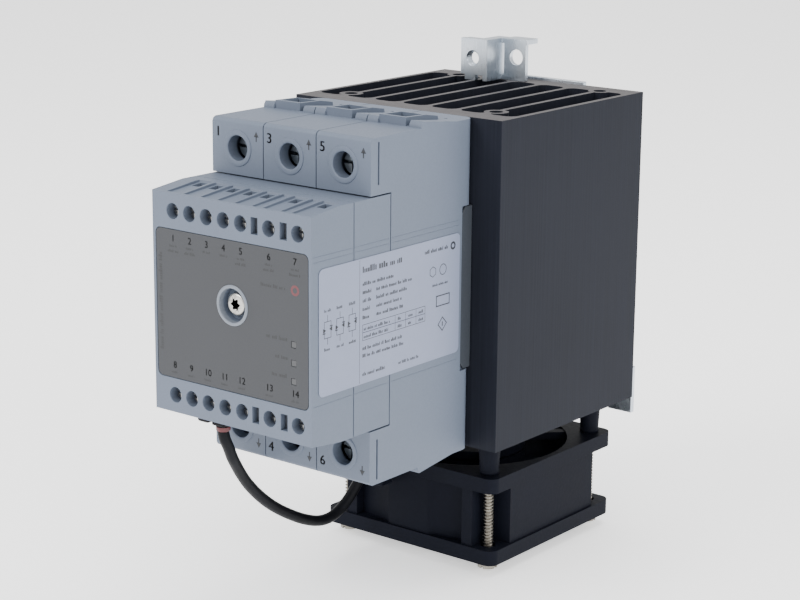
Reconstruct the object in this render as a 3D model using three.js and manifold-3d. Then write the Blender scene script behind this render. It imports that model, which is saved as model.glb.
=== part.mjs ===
// Three-pole solid state relay with a clip-on control module, a finned heatsink and a cooling fan.
// Millimetres. +X is right seen from the front, +Y points into the wall, +Z is up.
// The origin is the centre of the 35 mm rail on the rear bearing face of the mounting plate.
import * as THREE from 'three';
import { mergeVertices } from 'three/addons/utils/BufferGeometryUtils.js';
import Module from 'manifold-3d';

const wasm = await Module();
wasm.setup();

// ---- driving dimensions -------------------------------------------------------------------
const DEPTH = 135.8;          // control module face to rear bearing face
const POLE_PITCH = 17.8;      // width of one pole
const BODY_HALF = 1.5 * POLE_PITCH;
const BODY_TOP = 45;          // half height of pole housings and heatsink
const POLE_FACE = 22.5;       // distances behind the module face
const NOTCH_FACE = 30.6;
const BODY_REAR = 65.4;
const NOTCH_HALF = 30.5;      // half height of the notch that takes the module
const MODULE_HALF = 30.1;     // half height of the module at its rear
const MODULE_SEAM = 15.9;     // where front and rear shells of the module meet
const SEAM = 0.3;             // visible gap between neighbouring mouldings
const FIT = 0.05;             // gap between flat faces that bear on each other
const PLATE = 2;              // mounting plate thickness at the rail pad
const RAIL_PAD = { half: 15, height: 0.4 };   // the pad that the rail bears on
const SINK_HALF = 35.25;
const SINK_BACK = -PLATE - FIT;
const FAN_SIZE = 60;
const FAN_DEPTH = 25.3;
const FAN_TOP = -55.9;
const FAN_BOTTOM = FAN_TOP - FAN_DEPTH;
const FAN_CENTRE = 102.1;     // behind the module face
const FAN_HOLE = 25;          // half the fan's fixing-hole pitch
const FLANGE = 4.3;
const SLOT_PITCH = 9.8;       // heatsink channels
const SLOT_WIDTH = 8.2;
const SLOT_COUNT = 7;
const TERMINAL_Z = 37.5;      // height of the power screws above and below the middle
const CONTROL_Z = 24.2;       // height of the control screws above and below the middle
const CONTROL_X = [-19.6, -13.8, -8, -2.2, 3.6, 12.9, 22.3];
const KEY_SLOT_X = [8.2, 17.7];
const MODULE_SCREW = { x: 0.6, z: 2.9 };
const LAMP = { x: 20.9, heights: [-3.7, -8.4, -13.1] };
const CABLE_RADIUS = 1.55;

const behind = (distance) => distance - DEPTH;   // distance behind the module face, as a Y value
const FAN_Y = behind(FAN_CENTRE);
const POLE_X = [-POLE_PITCH, 0, POLE_PITCH];

// ---- finishes -----------------------------------------------------------------------------
const finish = (color, roughness, metalness) => ({ color, roughness, metalness });
const GREY_PLASTIC = finish(0x989ea9, 0.55, 0);
const FACE_GREY = finish(0x7a7d80, 0.5, 0);
const LABEL_WHITE = finish(0xb4bbc9, 0.45, 0);
const BLACK_ANODISED = finish(0x22242a, 0.55, 0.4);
const BLACK_PLASTIC = finish(0x24262d, 0.5, 0);
const ZINC = finish(0xb8c0c8, 0.35, 0.9);
const STEEL = finish(0xa8a49a, 0.3, 0.9);
const COPPER = finish(0xb87333, 0.35, 0.9);
const BOARD_GREEN = finish(0x1e5a38, 0.6, 0);
const CLEAR = finish(0xd8dcdc, 0.2, 0);
const CLIP_GREY = finish(0x6e7680, 0.6, 0);

// ---- solids -------------------------------------------------------------------------------
function solid(geometry) {
  const bare = geometry.index ? geometry.toNonIndexed() : geometry.clone();
  bare.deleteAttribute('normal');
  bare.deleteAttribute('uv');
  const merged = mergeVertices(bare, 1e-4);
  const vertProperties = new Float32Array(merged.attributes.position.array);
  const triVerts = new Uint32Array(merged.index.array);
  return new wasm.Manifold(new wasm.Mesh({ numProp: 3, vertProperties, triVerts }));
}

// A block between two limits on each axis, given in either order.
function box(xa, xb, ya, yb, za, zb) {
  const geometry = new THREE.BoxGeometry(Math.abs(xb - xa), Math.abs(yb - ya), Math.abs(zb - za));
  geometry.translate((xa + xb) / 2, (ya + yb) / 2, (za + zb) / 2);
  return solid(geometry);
}

// A round bar or tapered plug from one end point to the other.
function bar(start, end, radiusStart, radiusEnd = radiusStart, sides = 16) {
  const from = new THREE.Vector3(...start);
  const to = new THREE.Vector3(...end);
  const along = to.clone().sub(from);
  const geometry = new THREE.CylinderGeometry(radiusEnd, radiusStart, along.length(), sides);
  const turn = new THREE.Quaternion().setFromUnitVectors(
    new THREE.Vector3(0, 1, 0), along.clone().normalize());
  geometry.applyQuaternion(turn);
  geometry.translate(...from.add(to).multiplyScalar(0.5).toArray());
  return solid(geometry);
}

// A bar or bore along Y between two distances behind the module face.
function rod(x, z, from, to, radius, sides = 16) {
  return bar([x, behind(from), z], [x, behind(to), z], radius, radius, sides);
}

const AXES = {
  x: [new THREE.Vector3(0, 1, 0), new THREE.Vector3(0, 0, 1), new THREE.Vector3(1, 0, 0)],
  z: [new THREE.Vector3(1, 0, 0), new THREE.Vector3(0, 1, 0), new THREE.Vector3(0, 0, 1)],
};

// A flat outline extruded along X (outline in y, z) or along Z (outline in x, y).
function extrude(outline, axis, from, to) {
  const shape = outline instanceof THREE.Shape
    ? outline
    : new THREE.Shape(outline.map(([a, b]) => new THREE.Vector2(a, b)));
  const geometry = new THREE.ExtrudeGeometry(
    shape, { depth: to - from, bevelEnabled: false, curveSegments: 5 });
  geometry.applyMatrix4(new THREE.Matrix4().makeBasis(...AXES[axis]));
  const shift = AXES[axis][2].clone().multiplyScalar(from);
  geometry.translate(shift.x, shift.y, shift.z);
  return solid(geometry);
}

function roundedRectangle(x0, x1, y0, y1, radius) {
  const shape = new THREE.Shape();
  shape.absarc(x1 - radius, y0 + radius, radius, -Math.PI / 2, 0);
  shape.absarc(x1 - radius, y1 - radius, radius, 0, Math.PI / 2);
  shape.absarc(x0 + radius, y1 - radius, radius, Math.PI / 2, Math.PI);
  shape.absarc(x0 + radius, y0 + radius, radius, Math.PI, 1.5 * Math.PI);
  return shape;
}

// A rounded plate standing in the X-Z plane between two Y values.
function facePlate(x0, x1, z0, z1, radius, y0, y1) {
  const geometry = new THREE.ExtrudeGeometry(
    roundedRectangle(x0, x1, z0, z1, radius),
    { depth: y1 - y0, bevelEnabled: false, curveSegments: 5 },
  );
  geometry.rotateX(Math.PI / 2);
  geometry.translate(0, y1, 0);
  return solid(geometry);
}

const group = new THREE.Group();

function add(name, body, { color, roughness, metalness }) {
  const { vertProperties, triVerts } = body.getMesh();
  const geometry = new THREE.BufferGeometry();
  geometry.setAttribute('position', new THREE.BufferAttribute(new Float32Array(vertProperties), 3));
  geometry.setIndex(new THREE.BufferAttribute(new Uint32Array(triVerts), 1));
  const mesh = new THREE.Mesh(
    geometry, new THREE.MeshStandardMaterial({ color, roughness, metalness }));
  mesh.name = name;
  group.add(mesh);
}

function cut(body, ...tools) {
  return tools.reduce((rest, tool) => rest.subtract(tool), body);
}

function join(...bodies) {
  return bodies.reduce((whole, next) => whole.add(next));
}

// ---- heatsink -----------------------------------------------------------------------------
function heatsink() {
  const front = behind(BODY_REAR) + FIT;
  let body = box(-SINK_HALF, SINK_HALF, front, SINK_BACK, -BODY_TOP, BODY_TOP);
  const slotFront = behind(72.6);
  const slotBack = behind(126.6);
  const overrun = BODY_TOP + 1;
  for (let slot = 0; slot < SLOT_COUNT; slot += 1) {
    const centre = (slot - (SLOT_COUNT - 1) / 2) * SLOT_PITCH;
    const outline = roundedRectangle(
      centre - SLOT_WIDTH / 2, centre + SLOT_WIDTH / 2, slotFront, slotBack, 2.5);
    body = cut(body, extrude(outline, 'z', -overrun, overrun));
  }
  for (const x of [-FAN_HOLE, FAN_HOLE]) {
    for (const y of [FAN_Y - FAN_HOLE, FAN_Y + FAN_HOLE]) {
      body = join(body, bar([x, y, -BODY_TOP], [x, y, BODY_TOP], 3.4));
      body = cut(body, bar([x, y, -overrun], [x, y, overrun], 1.9, 1.9, 12));
    }
  }
  return body;
}

// ---- pole housings ------------------------------------------------------------------------
const HEAD_WALL = 3.4;        // thickness of a pole's front wall round its screw hole
const WALL = 1.7;
// The wire entries are measured from the pole's middle and behind the module face.
const ENTRY = { x0: -4.4, x1: 2.5, front: 44.4, back: 51.3 };
const HOOD = {                // raised collar round the wire entry
  x0: -5.3,
  x1: 3.4,
  outline: [[43, BODY_TOP - 1], [43.2, 47.2], [51.5, 46.9], [56.5, 46], [57, BODY_TOP - 1]],
};
const RIB = {                 // sloping ribs on both sides of the hood
  x0: 5,
  outline: [[42.4, BODY_TOP - 1], [42.6, 45.8], [43.2, 46.7], [57.5, BODY_TOP], [57.5, BODY_TOP - 1]],
};
const REAR_ROUND = 3.2;       // radius of the housing's rear corners
const CLIP = { depth: 1.2, sunk: 0.25 };      // seat depth, and how far the clip lies under the face

// Adds the half of a y-z outline that lies below the middle.
function mirrored(upper) {
  return [...upper, ...upper.map(([y, z]) => [y, -z]).reverse()];
}

function poleProfile() {
  return mirrored([
    [behind(NOTCH_FACE), NOTCH_HALF],
    [behind(POLE_FACE), NOTCH_HALF],
    [behind(POLE_FACE), BODY_TOP - 1.2],
    [behind(POLE_FACE + 0.4), BODY_TOP - 0.4],
    [behind(POLE_FACE + 1.2), BODY_TOP],
    [behind(BODY_REAR), BODY_TOP],
  ]);
}

function poleHousing(centre, side) {
  const x0 = centre - POLE_PITCH / 2 + (side < 0 ? 0 : SEAM / 2);
  const x1 = centre + POLE_PITCH / 2 - (side > 0 ? 0 : SEAM / 2);
  let body = extrude(poleProfile(), 'x', x0, x1);
  for (const sign of [-1, 1]) {
    const place = ([distance, height]) => [behind(distance), sign * height];
    body = join(
      body,
      extrude(HOOD.outline.map(place), 'x', centre + HOOD.x0, centre + HOOD.x1),
      extrude(RIB.outline.map(place), 'x', x0, centre + HOOD.x0),
      extrude(RIB.outline.map(place), 'x', centre + RIB.x0, x1),
    );
  }
  const inner = POLE_PITCH / 2 - SEAM / 2 - WALL;
  const roof = BODY_TOP - WALL;
  const rear = behind(BODY_REAR) + 1;
  const head = behind(POLE_FACE + HEAD_WALL);
  body = cut(body, box(centre - inner, centre + inner, behind(NOTCH_FACE + WALL), rear, -roof, roof));
  for (const sign of [-1, 1]) {
    const blindHole = (x) => bar(
      [x, behind(59.3), sign * (BODY_TOP - 0.6)], [x, behind(59.3), sign * (BODY_TOP + 1)], 0.5, 0.5, 10);
    body = cut(
      body,
      box(centre - inner, centre + inner, head, rear, sign * (NOTCH_HALF + WALL), sign * roof),
      rod(centre, sign * TERMINAL_Z, POLE_FACE - 1, POLE_FACE + HEAD_WALL + 1, 3.4, 20),
      box(centre + ENTRY.x0, centre + ENTRY.x1, behind(ENTRY.front), behind(ENTRY.back),
        sign * (roof - 1), sign * (BODY_TOP + 4)),
      blindHole(centre - 2.5),
      blindHole(centre + 3.9),
    );
  }
  return side === 0 ? body : outerDetails(body, side);
}

// Locating grooves, the rounded rear corner and the side clip's seat on an outer face.
function outerDetails(housing, side) {
  const face = side * BODY_HALF;
  const grooves = [-1, 1].map((sign) => box(
    face - 0.5, face + 0.5, behind(25.2), behind(25.8), sign * 33, sign * 43.8));
  const x = face - side * REAR_ROUND;
  const y = behind(BODY_REAR - REAR_ROUND);
  const corner = cut(
    box(x, face + side, y, behind(BODY_REAR) + 1, -50, 50),
    bar([x, y, -51], [x, y, 51], REAR_ROUND, REAR_ROUND, 32),
  );
  const seat = box(face - side * CLIP.depth, face + side,
    behind(60.4), behind(BODY_REAR) + 1, -22.6, 22.2);
  return cut(housing, ...grooves, corner, seat);
}

function sideClip(side) {
  const face = side * BODY_HALF;
  const outline = [
    [behind(60.5), -20.2], [behind(62.4), -22.3], [behind(65.2), -22.3],
    [behind(65.2), 21.9], [behind(62.4), 21.9], [behind(60.5), 19.8],
  ];
  const faces = [face - side * (CLIP.depth - FIT), face - side * CLIP.sunk];
  return extrude(outline, 'x', Math.min(...faces), Math.max(...faces));
}

// ---- power terminals ----------------------------------------------------------------------
const CAGE = { half: 6.1, front: 39.8, back: 52.8, height: 4.8, wall: 1.4 };

function powerClamp(centre, sign) {
  const z = sign * TERMINAL_Z;
  const { half, front, back, height, wall } = CAGE;
  return cut(
    box(centre - half, centre + half, behind(front), behind(back), z - height, z + height),
    box(centre - half + wall, centre + half - wall, behind(front + wall), behind(back - wall),
      z - height - 1, z + height + 1),
    rod(centre, z, front - 2, front + 3, 2.4, 12),
  );
}

// A cheese-head screw along Y, its driver slot upright.
function slottedScrew(x, z, front, headRadius, headLength, shankRadius, end, slotWidth, sides) {
  const neck = front + headLength;
  return cut(
    join(
      rod(x, z, front, neck, headRadius, sides),
      rod(x, z, neck - 0.5, end, shankRadius, sides),
    ),
    box(x - slotWidth / 2, x + slotWidth / 2, behind(front - 1), behind(front + headLength * 0.45),
      z - headRadius - 1, z + headRadius + 1),
  );
}

// The switching block, with a current bar that steps forward into each clamp.
function powerModule(centre) {
  const half = 3.4;
  let body = box(centre - 6.4, centre + 6.4, behind(56.5), behind(BODY_REAR) - FIT, -24, 24);
  for (const sign of [-1, 1]) {
    body = join(
      body,
      box(centre - half, centre + half, behind(42.2), behind(57.5), sign * 18, sign * 19.6),
      box(centre - half, centre + half, behind(42.2), behind(43.8), sign * 18, sign * 41.6),
    );
  }
  return body;
}

// ---- control module -----------------------------------------------------------------------
const FRONT_WALL = 1.9;
const SCREW_SEAT = { radius: 4.4, floor: 3.25, boss: 5.6, bossEnd: 4.6 };
const LAMP_HOLE = 0.85;       // half width of a lamp's square hole

// A wire funnel: a shallow channel from the front lip to a back wall.
function rampCut(x, halfWidth, sign) {
  const outline = [
    [behind(0.7), sign * 31], [behind(0.7), sign * 28.5],
    [behind(12.4), sign * 29.55], [behind(13.2), sign * 31],
  ];
  return extrude(outline, 'x', x - halfWidth, x + halfWidth);
}

function lampHoles() {
  return LAMP.heights.map((height) => box(
    LAMP.x - LAMP_HOLE, LAMP.x + LAMP_HOLE, behind(-1), behind(3), height - LAMP_HOLE, height + LAMP_HOLE));
}

function controllerFront() {
  const profile = mirrored([
    [behind(MODULE_SEAM), MODULE_HALF], [behind(11), MODULE_HALF], [behind(0), 28.9],
  ]);
  const side = BODY_HALF - 1.5;
  const { x: screwX, z: screwZ } = MODULE_SCREW;
  let body = cut(
    extrude(profile, 'x', -BODY_HALF, BODY_HALF),
    box(-side, side, behind(FRONT_WALL), behind(MODULE_SEAM) + 1, -19.4, 19.4),
    facePlate(-25.8, 25.8, -19.8, 19.6, 1.6, behind(-1), behind(0.4)),
  );
  body = join(body, rod(screwX, screwZ, FRONT_WALL - 0.4, SCREW_SEAT.bossEnd, SCREW_SEAT.boss, 24));
  body = cut(
    body,
    rod(screwX, screwZ, -1, SCREW_SEAT.floor, SCREW_SEAT.radius, 24),
    rod(screwX, screwZ, 1, SCREW_SEAT.bossEnd + 1, 2, 12),
    ...lampHoles(),
  );
  for (const sign of [-1, 1]) {
    const z = sign * CONTROL_Z;
    for (const x of CONTROL_X) {
      body = cut(
        body,
        rod(x, z, -1, 13.4, 2.1),
        rampCut(x, 2.45, sign),
        box(x - 1.6, x + 1.6, behind(8.8), behind(12.2), sign * 26, sign * 30),
      );
    }
    for (const x of KEY_SLOT_X) {
      body = cut(
        body,
        box(x - 1.15, x + 1.15, behind(-1), behind(5), z - 2.15, z + 2.15),
        rampCut(x, 1.35, sign),
      );
    }
  }
  return body;
}

function controllerRear() {
  const front = behind(MODULE_SEAM + SEAM);
  const back = behind(NOTCH_FACE) - SEAM;
  const wall = 1.6;
  return cut(
    box(-BODY_HALF, BODY_HALF, front, back, -MODULE_HALF, MODULE_HALF),
    box(-BODY_HALF + wall, BODY_HALF - wall, front - 1, back - wall, -MODULE_HALF + wall, MODULE_HALF - wall),
    bar([MODULE_SCREW.x, back - 4, MODULE_SCREW.z], [MODULE_SCREW.x, back + 2, MODULE_SCREW.z], 2, 2, 12),
  );
}

function controllerFacePlate() {
  return cut(
    facePlate(-25.6, 25.6, -19.6, 19.4, 1.5, behind(0.05), behind(0.35)),
    rod(MODULE_SCREW.x, MODULE_SCREW.z, -1, 3, 5.3, 24),
    ...lampHoles(),
  );
}

function controllerBoard() {
  return cut(
    box(-24, 24, behind(17.4), behind(19), -27.5, 27.5),
    rod(MODULE_SCREW.x, MODULE_SCREW.z, 16, 21, 2.4, 12),
  );
}

function lightPipe() {
  const half = LAMP_HOLE - 0.25;
  let body = box(LAMP.x - 0.65, LAMP.x + 0.65, behind(11), behind(12.6), -14, -3);
  for (const height of LAMP.heights) {
    body = join(
      body,
      box(LAMP.x - half, LAMP.x + half, behind(0.3), behind(11.5), height - half, height + half),
    );
  }
  return body;
}

// ---- fan ----------------------------------------------------------------------------------
const DUCT = 28.3;
const HUB = 16;
const HALF_FAN = FAN_SIZE / 2;
const CORNER = { x: 22.4, y: 20.6 };          // where the open corners between the flanges begin

// The fan's square outline, drawn in from its edge by an inset.
function fanOutline(inset, radius) {
  return roundedRectangle(
    inset - HALF_FAN, HALF_FAN - inset, FAN_Y - HALF_FAN + inset, FAN_Y + HALF_FAN - inset, radius);
}

// Shallow pockets in the front wall, each with a floor that slants inwards towards the corner.
function wallPockets() {
  const face = FAN_Y - HALF_FAN;
  return [-1, 1].map((side) => extrude(
    [[6.7, 0], [6.7, 0.7], [8.4, 1.9], [18.9, 3.6], [18.9, 0]].map(([x, depth]) => [side * x, face + depth]),
    'z', FAN_BOTTOM + FLANGE, FAN_TOP - FLANGE));
}

function fanFrame() {
  let body = join(
    extrude(fanOutline(0, 3), 'z', FAN_BOTTOM, FAN_BOTTOM + FLANGE),
    extrude(fanOutline(0, 3), 'z', FAN_TOP - FLANGE, FAN_TOP),
    extrude(fanOutline(0.7, 2), 'z', FAN_BOTTOM + 1, FAN_TOP - 1),
  );
  for (const sx of [-1, 1]) {
    for (const sy of [-1, 1]) {
      const x = sx * FAN_HOLE;
      const y = FAN_Y + sy * FAN_HOLE;
      body = cut(
        body,
        box(sx * CORNER.x, sx * (HALF_FAN + 1), FAN_Y + sy * CORNER.y, FAN_Y + sy * (HALF_FAN + 1),
          FAN_BOTTOM + FLANGE, FAN_TOP - FLANGE),
        bar([x, y, FAN_BOTTOM - 1], [x, y, FAN_TOP + 1], 2.15, 2.15, 12),
      );
    }
  }
  body = cut(body, ...wallPockets());
  // the duct's own wall, which shows in the open corners
  const ductWall = bar([0, FAN_Y, FAN_BOTTOM + 1], [0, FAN_Y, FAN_TOP - 1], DUCT + 0.9, DUCT + 0.9, 48);
  body = join(body, ductWall);
  body = cut(body, bar([0, FAN_Y, FAN_BOTTOM - 1], [0, FAN_Y, FAN_TOP + 1], DUCT, DUCT, 48));
  // motor carrier: a hub disc with a bearing tube, on four slanting struts
  body = join(
    body,
    bar([0, FAN_Y, FAN_TOP - 2.6], [0, FAN_Y, FAN_TOP - 0.2], HUB, HUB, 32),
    bar([0, FAN_Y, FAN_TOP - 19], [0, FAN_Y, FAN_TOP - 2], 3.6, 3.6, 12),
  );
  for (let strut = 0; strut < 4; strut += 1) {
    const geometry = new THREE.BoxGeometry(DUCT - HUB + 2, 3, 2.2);
    geometry.translate((DUCT + HUB) / 2, 2, FAN_TOP - 1.4);
    geometry.rotateZ(Math.PI / 4 + strut * Math.PI / 2);
    geometry.translate(0, FAN_Y, 0);
    body = join(body, solid(geometry));
  }
  return cut(body, bar([0, FAN_Y, FAN_BOTTOM - 1], [0, FAN_Y, FAN_TOP - 3.4], 1.9, 1.9, 12));
}

function fanRotor() {
  const bottom = FAN_BOTTOM + 1.6;
  const top = FAN_TOP - 3.2;
  let body = cut(
    bar([0, FAN_Y, bottom], [0, FAN_Y, top], HUB, HUB, 40),
    bar([0, FAN_Y, bottom + 1.8], [0, FAN_Y, top + 1], HUB - 1.8, HUB - 1.8, 40),
  );
  body = join(body, bar([0, FAN_Y, bottom + 1], [0, FAN_Y, FAN_TOP - 4.2], 1.5, 1.5, 12));
  const chordSteps = 5;
  const bladeCount = 7;
  const halfThickness = 0.55;
  const sweep = (index, offset) => {
    const share = index / chordSteps;
    return [-8 + 16 * share + offset, bottom + 3 + 15 * share + 2.4 * Math.sin(Math.PI * share) - offset];
  };
  for (let blade = 0; blade < bladeCount; blade += 1) {
    const outline = [];
    for (let index = 0; index <= chordSteps; index += 1) {
      outline.push(sweep(index, halfThickness));
    }
    for (let index = chordSteps; index >= 0; index -= 1) {
      outline.push(sweep(index, -halfThickness));
    }
    const shape = new THREE.Shape(outline.map(([a, b]) => new THREE.Vector2(a, b)));
    const geometry = new THREE.ExtrudeGeometry(shape, { depth: 15, bevelEnabled: false });
    geometry.applyMatrix4(new THREE.Matrix4().makeBasis(...AXES.x));
    geometry.translate(HUB - 3, 0, 0);
    geometry.rotateZ(2 * Math.PI * blade / bladeCount);
    geometry.translate(0, FAN_Y, 0);
    body = join(body, cut(
      solid(geometry).intersect(bar([0, FAN_Y, bottom], [0, FAN_Y, top], DUCT - 1, DUCT - 1, 48)),
      bar([0, FAN_Y, bottom - 1], [0, FAN_Y, top + 1], HUB - 1, HUB - 1, 40),
    ));
  }
  return body;
}

function fanStator() {
  const low = FAN_TOP - 16;
  const high = FAN_TOP - 6;
  let body = bar([0, FAN_Y, low], [0, FAN_Y, high], 12.4, 12.4, 32);
  for (let gap = 0; gap < 4; gap += 1) {
    const geometry = new THREE.BoxGeometry(7, 2.4, 14);
    geometry.translate(11, 0, (low + high) / 2);
    geometry.rotateZ(gap * Math.PI / 2);
    geometry.translate(0, FAN_Y, 0);
    body = cut(body, solid(geometry));
  }
  return cut(body, bar([0, FAN_Y, low - 1], [0, FAN_Y, high + 1], 3.9, 3.9, 12));
}

function fanScrew(x, y) {
  const slot = box(x - 0.4, x + 0.4, y - 4, y + 4, FAN_BOTTOM - 3, FAN_BOTTOM - 1.4);
  return cut(
    join(
      bar([x, y, FAN_BOTTOM - 2.1], [x, y, FAN_BOTTOM - FIT], 2.1, 2.9, 16),
      bar([x, y, FAN_BOTTOM - 1], [x, y, -35], 1.35, 1.35, 10),
    ),
    slot,
  );
}

function fanSpacer(x, y) {
  return cut(
    bar([x, y, FAN_TOP + FIT], [x, y, -BODY_TOP - FIT], 2.8, 3.25, 20),
    bar([x, y, FAN_TOP - 1], [x, y, -BODY_TOP + 1], 1.75, 1.75, 12),
  );
}

// ---- mounting hardware --------------------------------------------------------------------
const STRAP = { low: -28, high: -25.4 };
const LATCH = { half: 6, low: -48, window: { half: 3, low: -42, high: -28 } };

function mountingPlate() {
  const face = -RAIL_PAD.height;
  let body = join(
    box(-30, 30, -PLATE, face, -42.5, 40),
    box(-8, 15, -PLATE, face, 39, BODY_TOP + 0.8),
    box(27, 35, -PLATE, face, -50, -36),
    box(-30, 30, -PLATE, 0, -RAIL_PAD.half, RAIL_PAD.half),
  );
  for (const x of [-16, 16]) {
    body = join(
      body,
      box(x - 6, x + 6, -1, 3.2, 18, 19.8),
      box(x - 6, x + 6, 1.6, 3.2, 15.4, 19),
    );
  }
  // strap that guides the latch, and the lug that carries its spring
  for (const x of [-LATCH.half - 2, LATCH.half + 2]) {
    body = join(body, box(x - 1.4, x + 1.4, -1, 3.4, STRAP.low, STRAP.high));
  }
  return join(
    body,
    box(-LATCH.half - 3, LATCH.half + 3, 2.3, 3.4, STRAP.low, STRAP.high),
    box(-1.6, 1.6, -1, 3.4, -41.6, -40.2),
  );
}

function mountingLatch() {
  return cut(
    join(
      box(-LATCH.half, LATCH.half, -0.1, 1.9, LATCH.low, -18),
      box(-LATCH.half, LATCH.half, 1.4, 3.2, -20.5, -15.6),
    ),
    box(-LATCH.window.half, LATCH.window.half, -1, 3, LATCH.window.low - 1.5, LATCH.window.high),
    box(-3, 3, -1, 3, LATCH.low + 1, LATCH.low + 2.6),
  );
}

function latchSpring() {
  const turns = 6;
  const steps = 8;
  const low = -39.7;
  const high = LATCH.window.high - 0.5;
  const points = [];
  for (let step = 0; step <= turns * steps; step += 1) {
    const angle = 2 * Math.PI * step / steps;
    points.push(new THREE.Vector3(
      1.5 * Math.cos(angle), 1.9 + 1.3 * Math.sin(angle), low + (high - low) * step / (turns * steps)));
  }
  const section = new THREE.Shape();
  section.absarc(0, 0, 0.25, 0, 2 * Math.PI);
  return solid(new THREE.ExtrudeGeometry(section, {
    extrudePath: new THREE.CatmullRomCurve3(points),
    steps: turns * steps,
    curveSegments: 3,
    bevelEnabled: false,
  }));
}

const BRACKET = { sheet: 1.5, left: -19, web: -9.6, top: 57.2, front: 120, back: 127.3, right: -1.1 };

function earthBracket() {
  // one folded sheet: a threaded front tab, a web running back and a rear plate, with turned-in tops
  const { sheet, left, web, top, front, back, right } = BRACKET;
  const foot = BODY_TOP + FIT;
  const tab = cut(
    box(left, web, behind(front), behind(front) + sheet, foot + 1.6, top),
    bar([left + 4.3, behind(front) - 2, 51.5], [left + 4.3, behind(front) + 4, 51.5], 2.25, 2.25, 16),
  );
  const rear = cut(
    box(web + 0.9, right, behind(back), behind(back) + sheet, foot, top),
    bar([-4.4, behind(back) - 4, 51.9], [-4.4, behind(back) + 4, 51.9], 2.3, 2.3, 16),
  );
  return join(
    tab,
    box(left + 1.5, left + 5.3, behind(front), behind(front) + sheet, foot, foot + 2),
    box(web - sheet, web, behind(front), behind(back) + sheet, foot, top),
    rear,
    box(web - 1, web + 2, behind(back), behind(back) + sheet, foot, foot + 1.5),
    box(left + 1, left + 6, behind(front), behind(front) + 3, top - sheet, top),
    box(web - 3.4, web, behind(front) + 2, behind(back) + 3.2, top - sheet, top),
    box(web + 0.9, right + 0.4, behind(back), behind(back) + 5.6, top - sheet, top),
    box(web - 1, web + 2, behind(back) + 0.2, behind(back) + 3.2, top - sheet, top),
  );
}

// ---- fan lead -----------------------------------------------------------------------------
const CABLE_ROUTE = [
  [-9.7, 7.2, -32.7], [-9.7, 7.2, -34], [-9.8, 7.9, -36.2], [-10.2, 9.6, -38.9], [-11.2, 12, -42.4],
  [-12.6, 15.2, -46], [-14, 18.6, -49.6], [-15.4, 23, -54], [-16.4, 28.6, -59], [-16.9, 34.6, -63.6],
  [-17, 41, -67.6], [-17, 47.6, -71], [-16.8, 53.4, -73], [-16.6, 58.4, -73.2], [-16.3, 62.6, -71.6],
  [-15.7, 65.8, -68.8], [-14.6, 68, -65], [-13, 69, -61.6], [-11.2, 69.2, -59.6], [-9.5, 69.2, -59.2],
].map(([x, distance, z]) => new THREE.Vector3(x, behind(distance), z));

function fanCable() {
  const section = new THREE.Shape();
  const sides = 8;
  for (let side = 0; side < sides; side += 1) {
    const angle = 2 * Math.PI * side / sides;
    const point = [CABLE_RADIUS * Math.cos(angle), CABLE_RADIUS * Math.sin(angle)];
    if (side === 0) section.moveTo(...point);
    else section.lineTo(...point);
  }
  return solid(new THREE.ExtrudeGeometry(section, {
    extrudePath: new THREE.CatmullRomCurve3(CABLE_ROUTE), steps: 34, bevelEnabled: false,
  }));
}

function fanPlug() {
  return join(
    box(-11.9, -7.5, behind(4.9), behind(9.5), -32, -30.4),
    bar([-9.7, behind(7.2), -31.6], [-9.7, behind(7.2), -32.35], 2.1, 1.9, 12),
  );
}

function cableGrommet() {
  return join(
    box(-9, -3.6, behind(67), behind(71.95), -61.4, -56.4),
    box(-7, -5, behind(67), behind(71.95), -64, -61),
  );
}

// ---- assembly -----------------------------------------------------------------------------
add('heatsink', heatsink(), BLACK_ANODISED);
add('mounting_plate', mountingPlate(), ZINC);
add('mounting_latch', mountingLatch(), ZINC);
add('latch_spring', latchSpring(), STEEL);
add('earth_bracket', earthBracket(), ZINC);

POLE_X.forEach((centre, index) => {
  const pole = index + 1;
  add(`pole_housing_${pole}`, poleHousing(centre, index - 1), GREY_PLASTIC);
  add(`power_module_${pole}`, powerModule(centre), COPPER);
  for (const [row, sign] of [['line', 1], ['load', -1]]) {
    add(`${row}_clamp_${pole}`, powerClamp(centre, sign), STEEL);
    add(`${row}_screw_${pole}`,
      slottedScrew(centre, sign * TERMINAL_Z, 26.4, 2.95, 2.9, 2, 41.8, 0.9, 16), STEEL);
  }
});
add('side_clip_left', sideClip(-1), CLIP_GREY);
add('side_clip_right', sideClip(1), CLIP_GREY);

add('controller_front', controllerFront(), GREY_PLASTIC);
add('controller_rear', controllerRear(), GREY_PLASTIC);
add('controller_face', controllerFacePlate(), FACE_GREY);
add('controller_board', controllerBoard(), BOARD_GREEN);
add('light_pipe', lightPipe(), CLEAR);
add('module_screw',
  slottedScrew(MODULE_SCREW.x, MODULE_SCREW.z, 1.2, 2.95, 2, 1.5, 30, 0.9, 16), STEEL);
for (const [row, sign] of [['upper', 1], ['lower', -1]]) {
  CONTROL_X.forEach((x, index) => {
    add(`${row}_screw_${index + 1}`,
      slottedScrew(x, sign * CONTROL_Z, 2.4, 1.75, 1.6, 1.2, 12.4, 0.6, 10), STEEL);
  });
}
const labelOutline = roundedRectangle(behind(2.6), behind(59.3), -16.8, 15.5, 1.5);
add('rating_label', extrude(labelOutline, 'x', BODY_HALF + FIT, BODY_HALF + 0.2), LABEL_WHITE);

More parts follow.
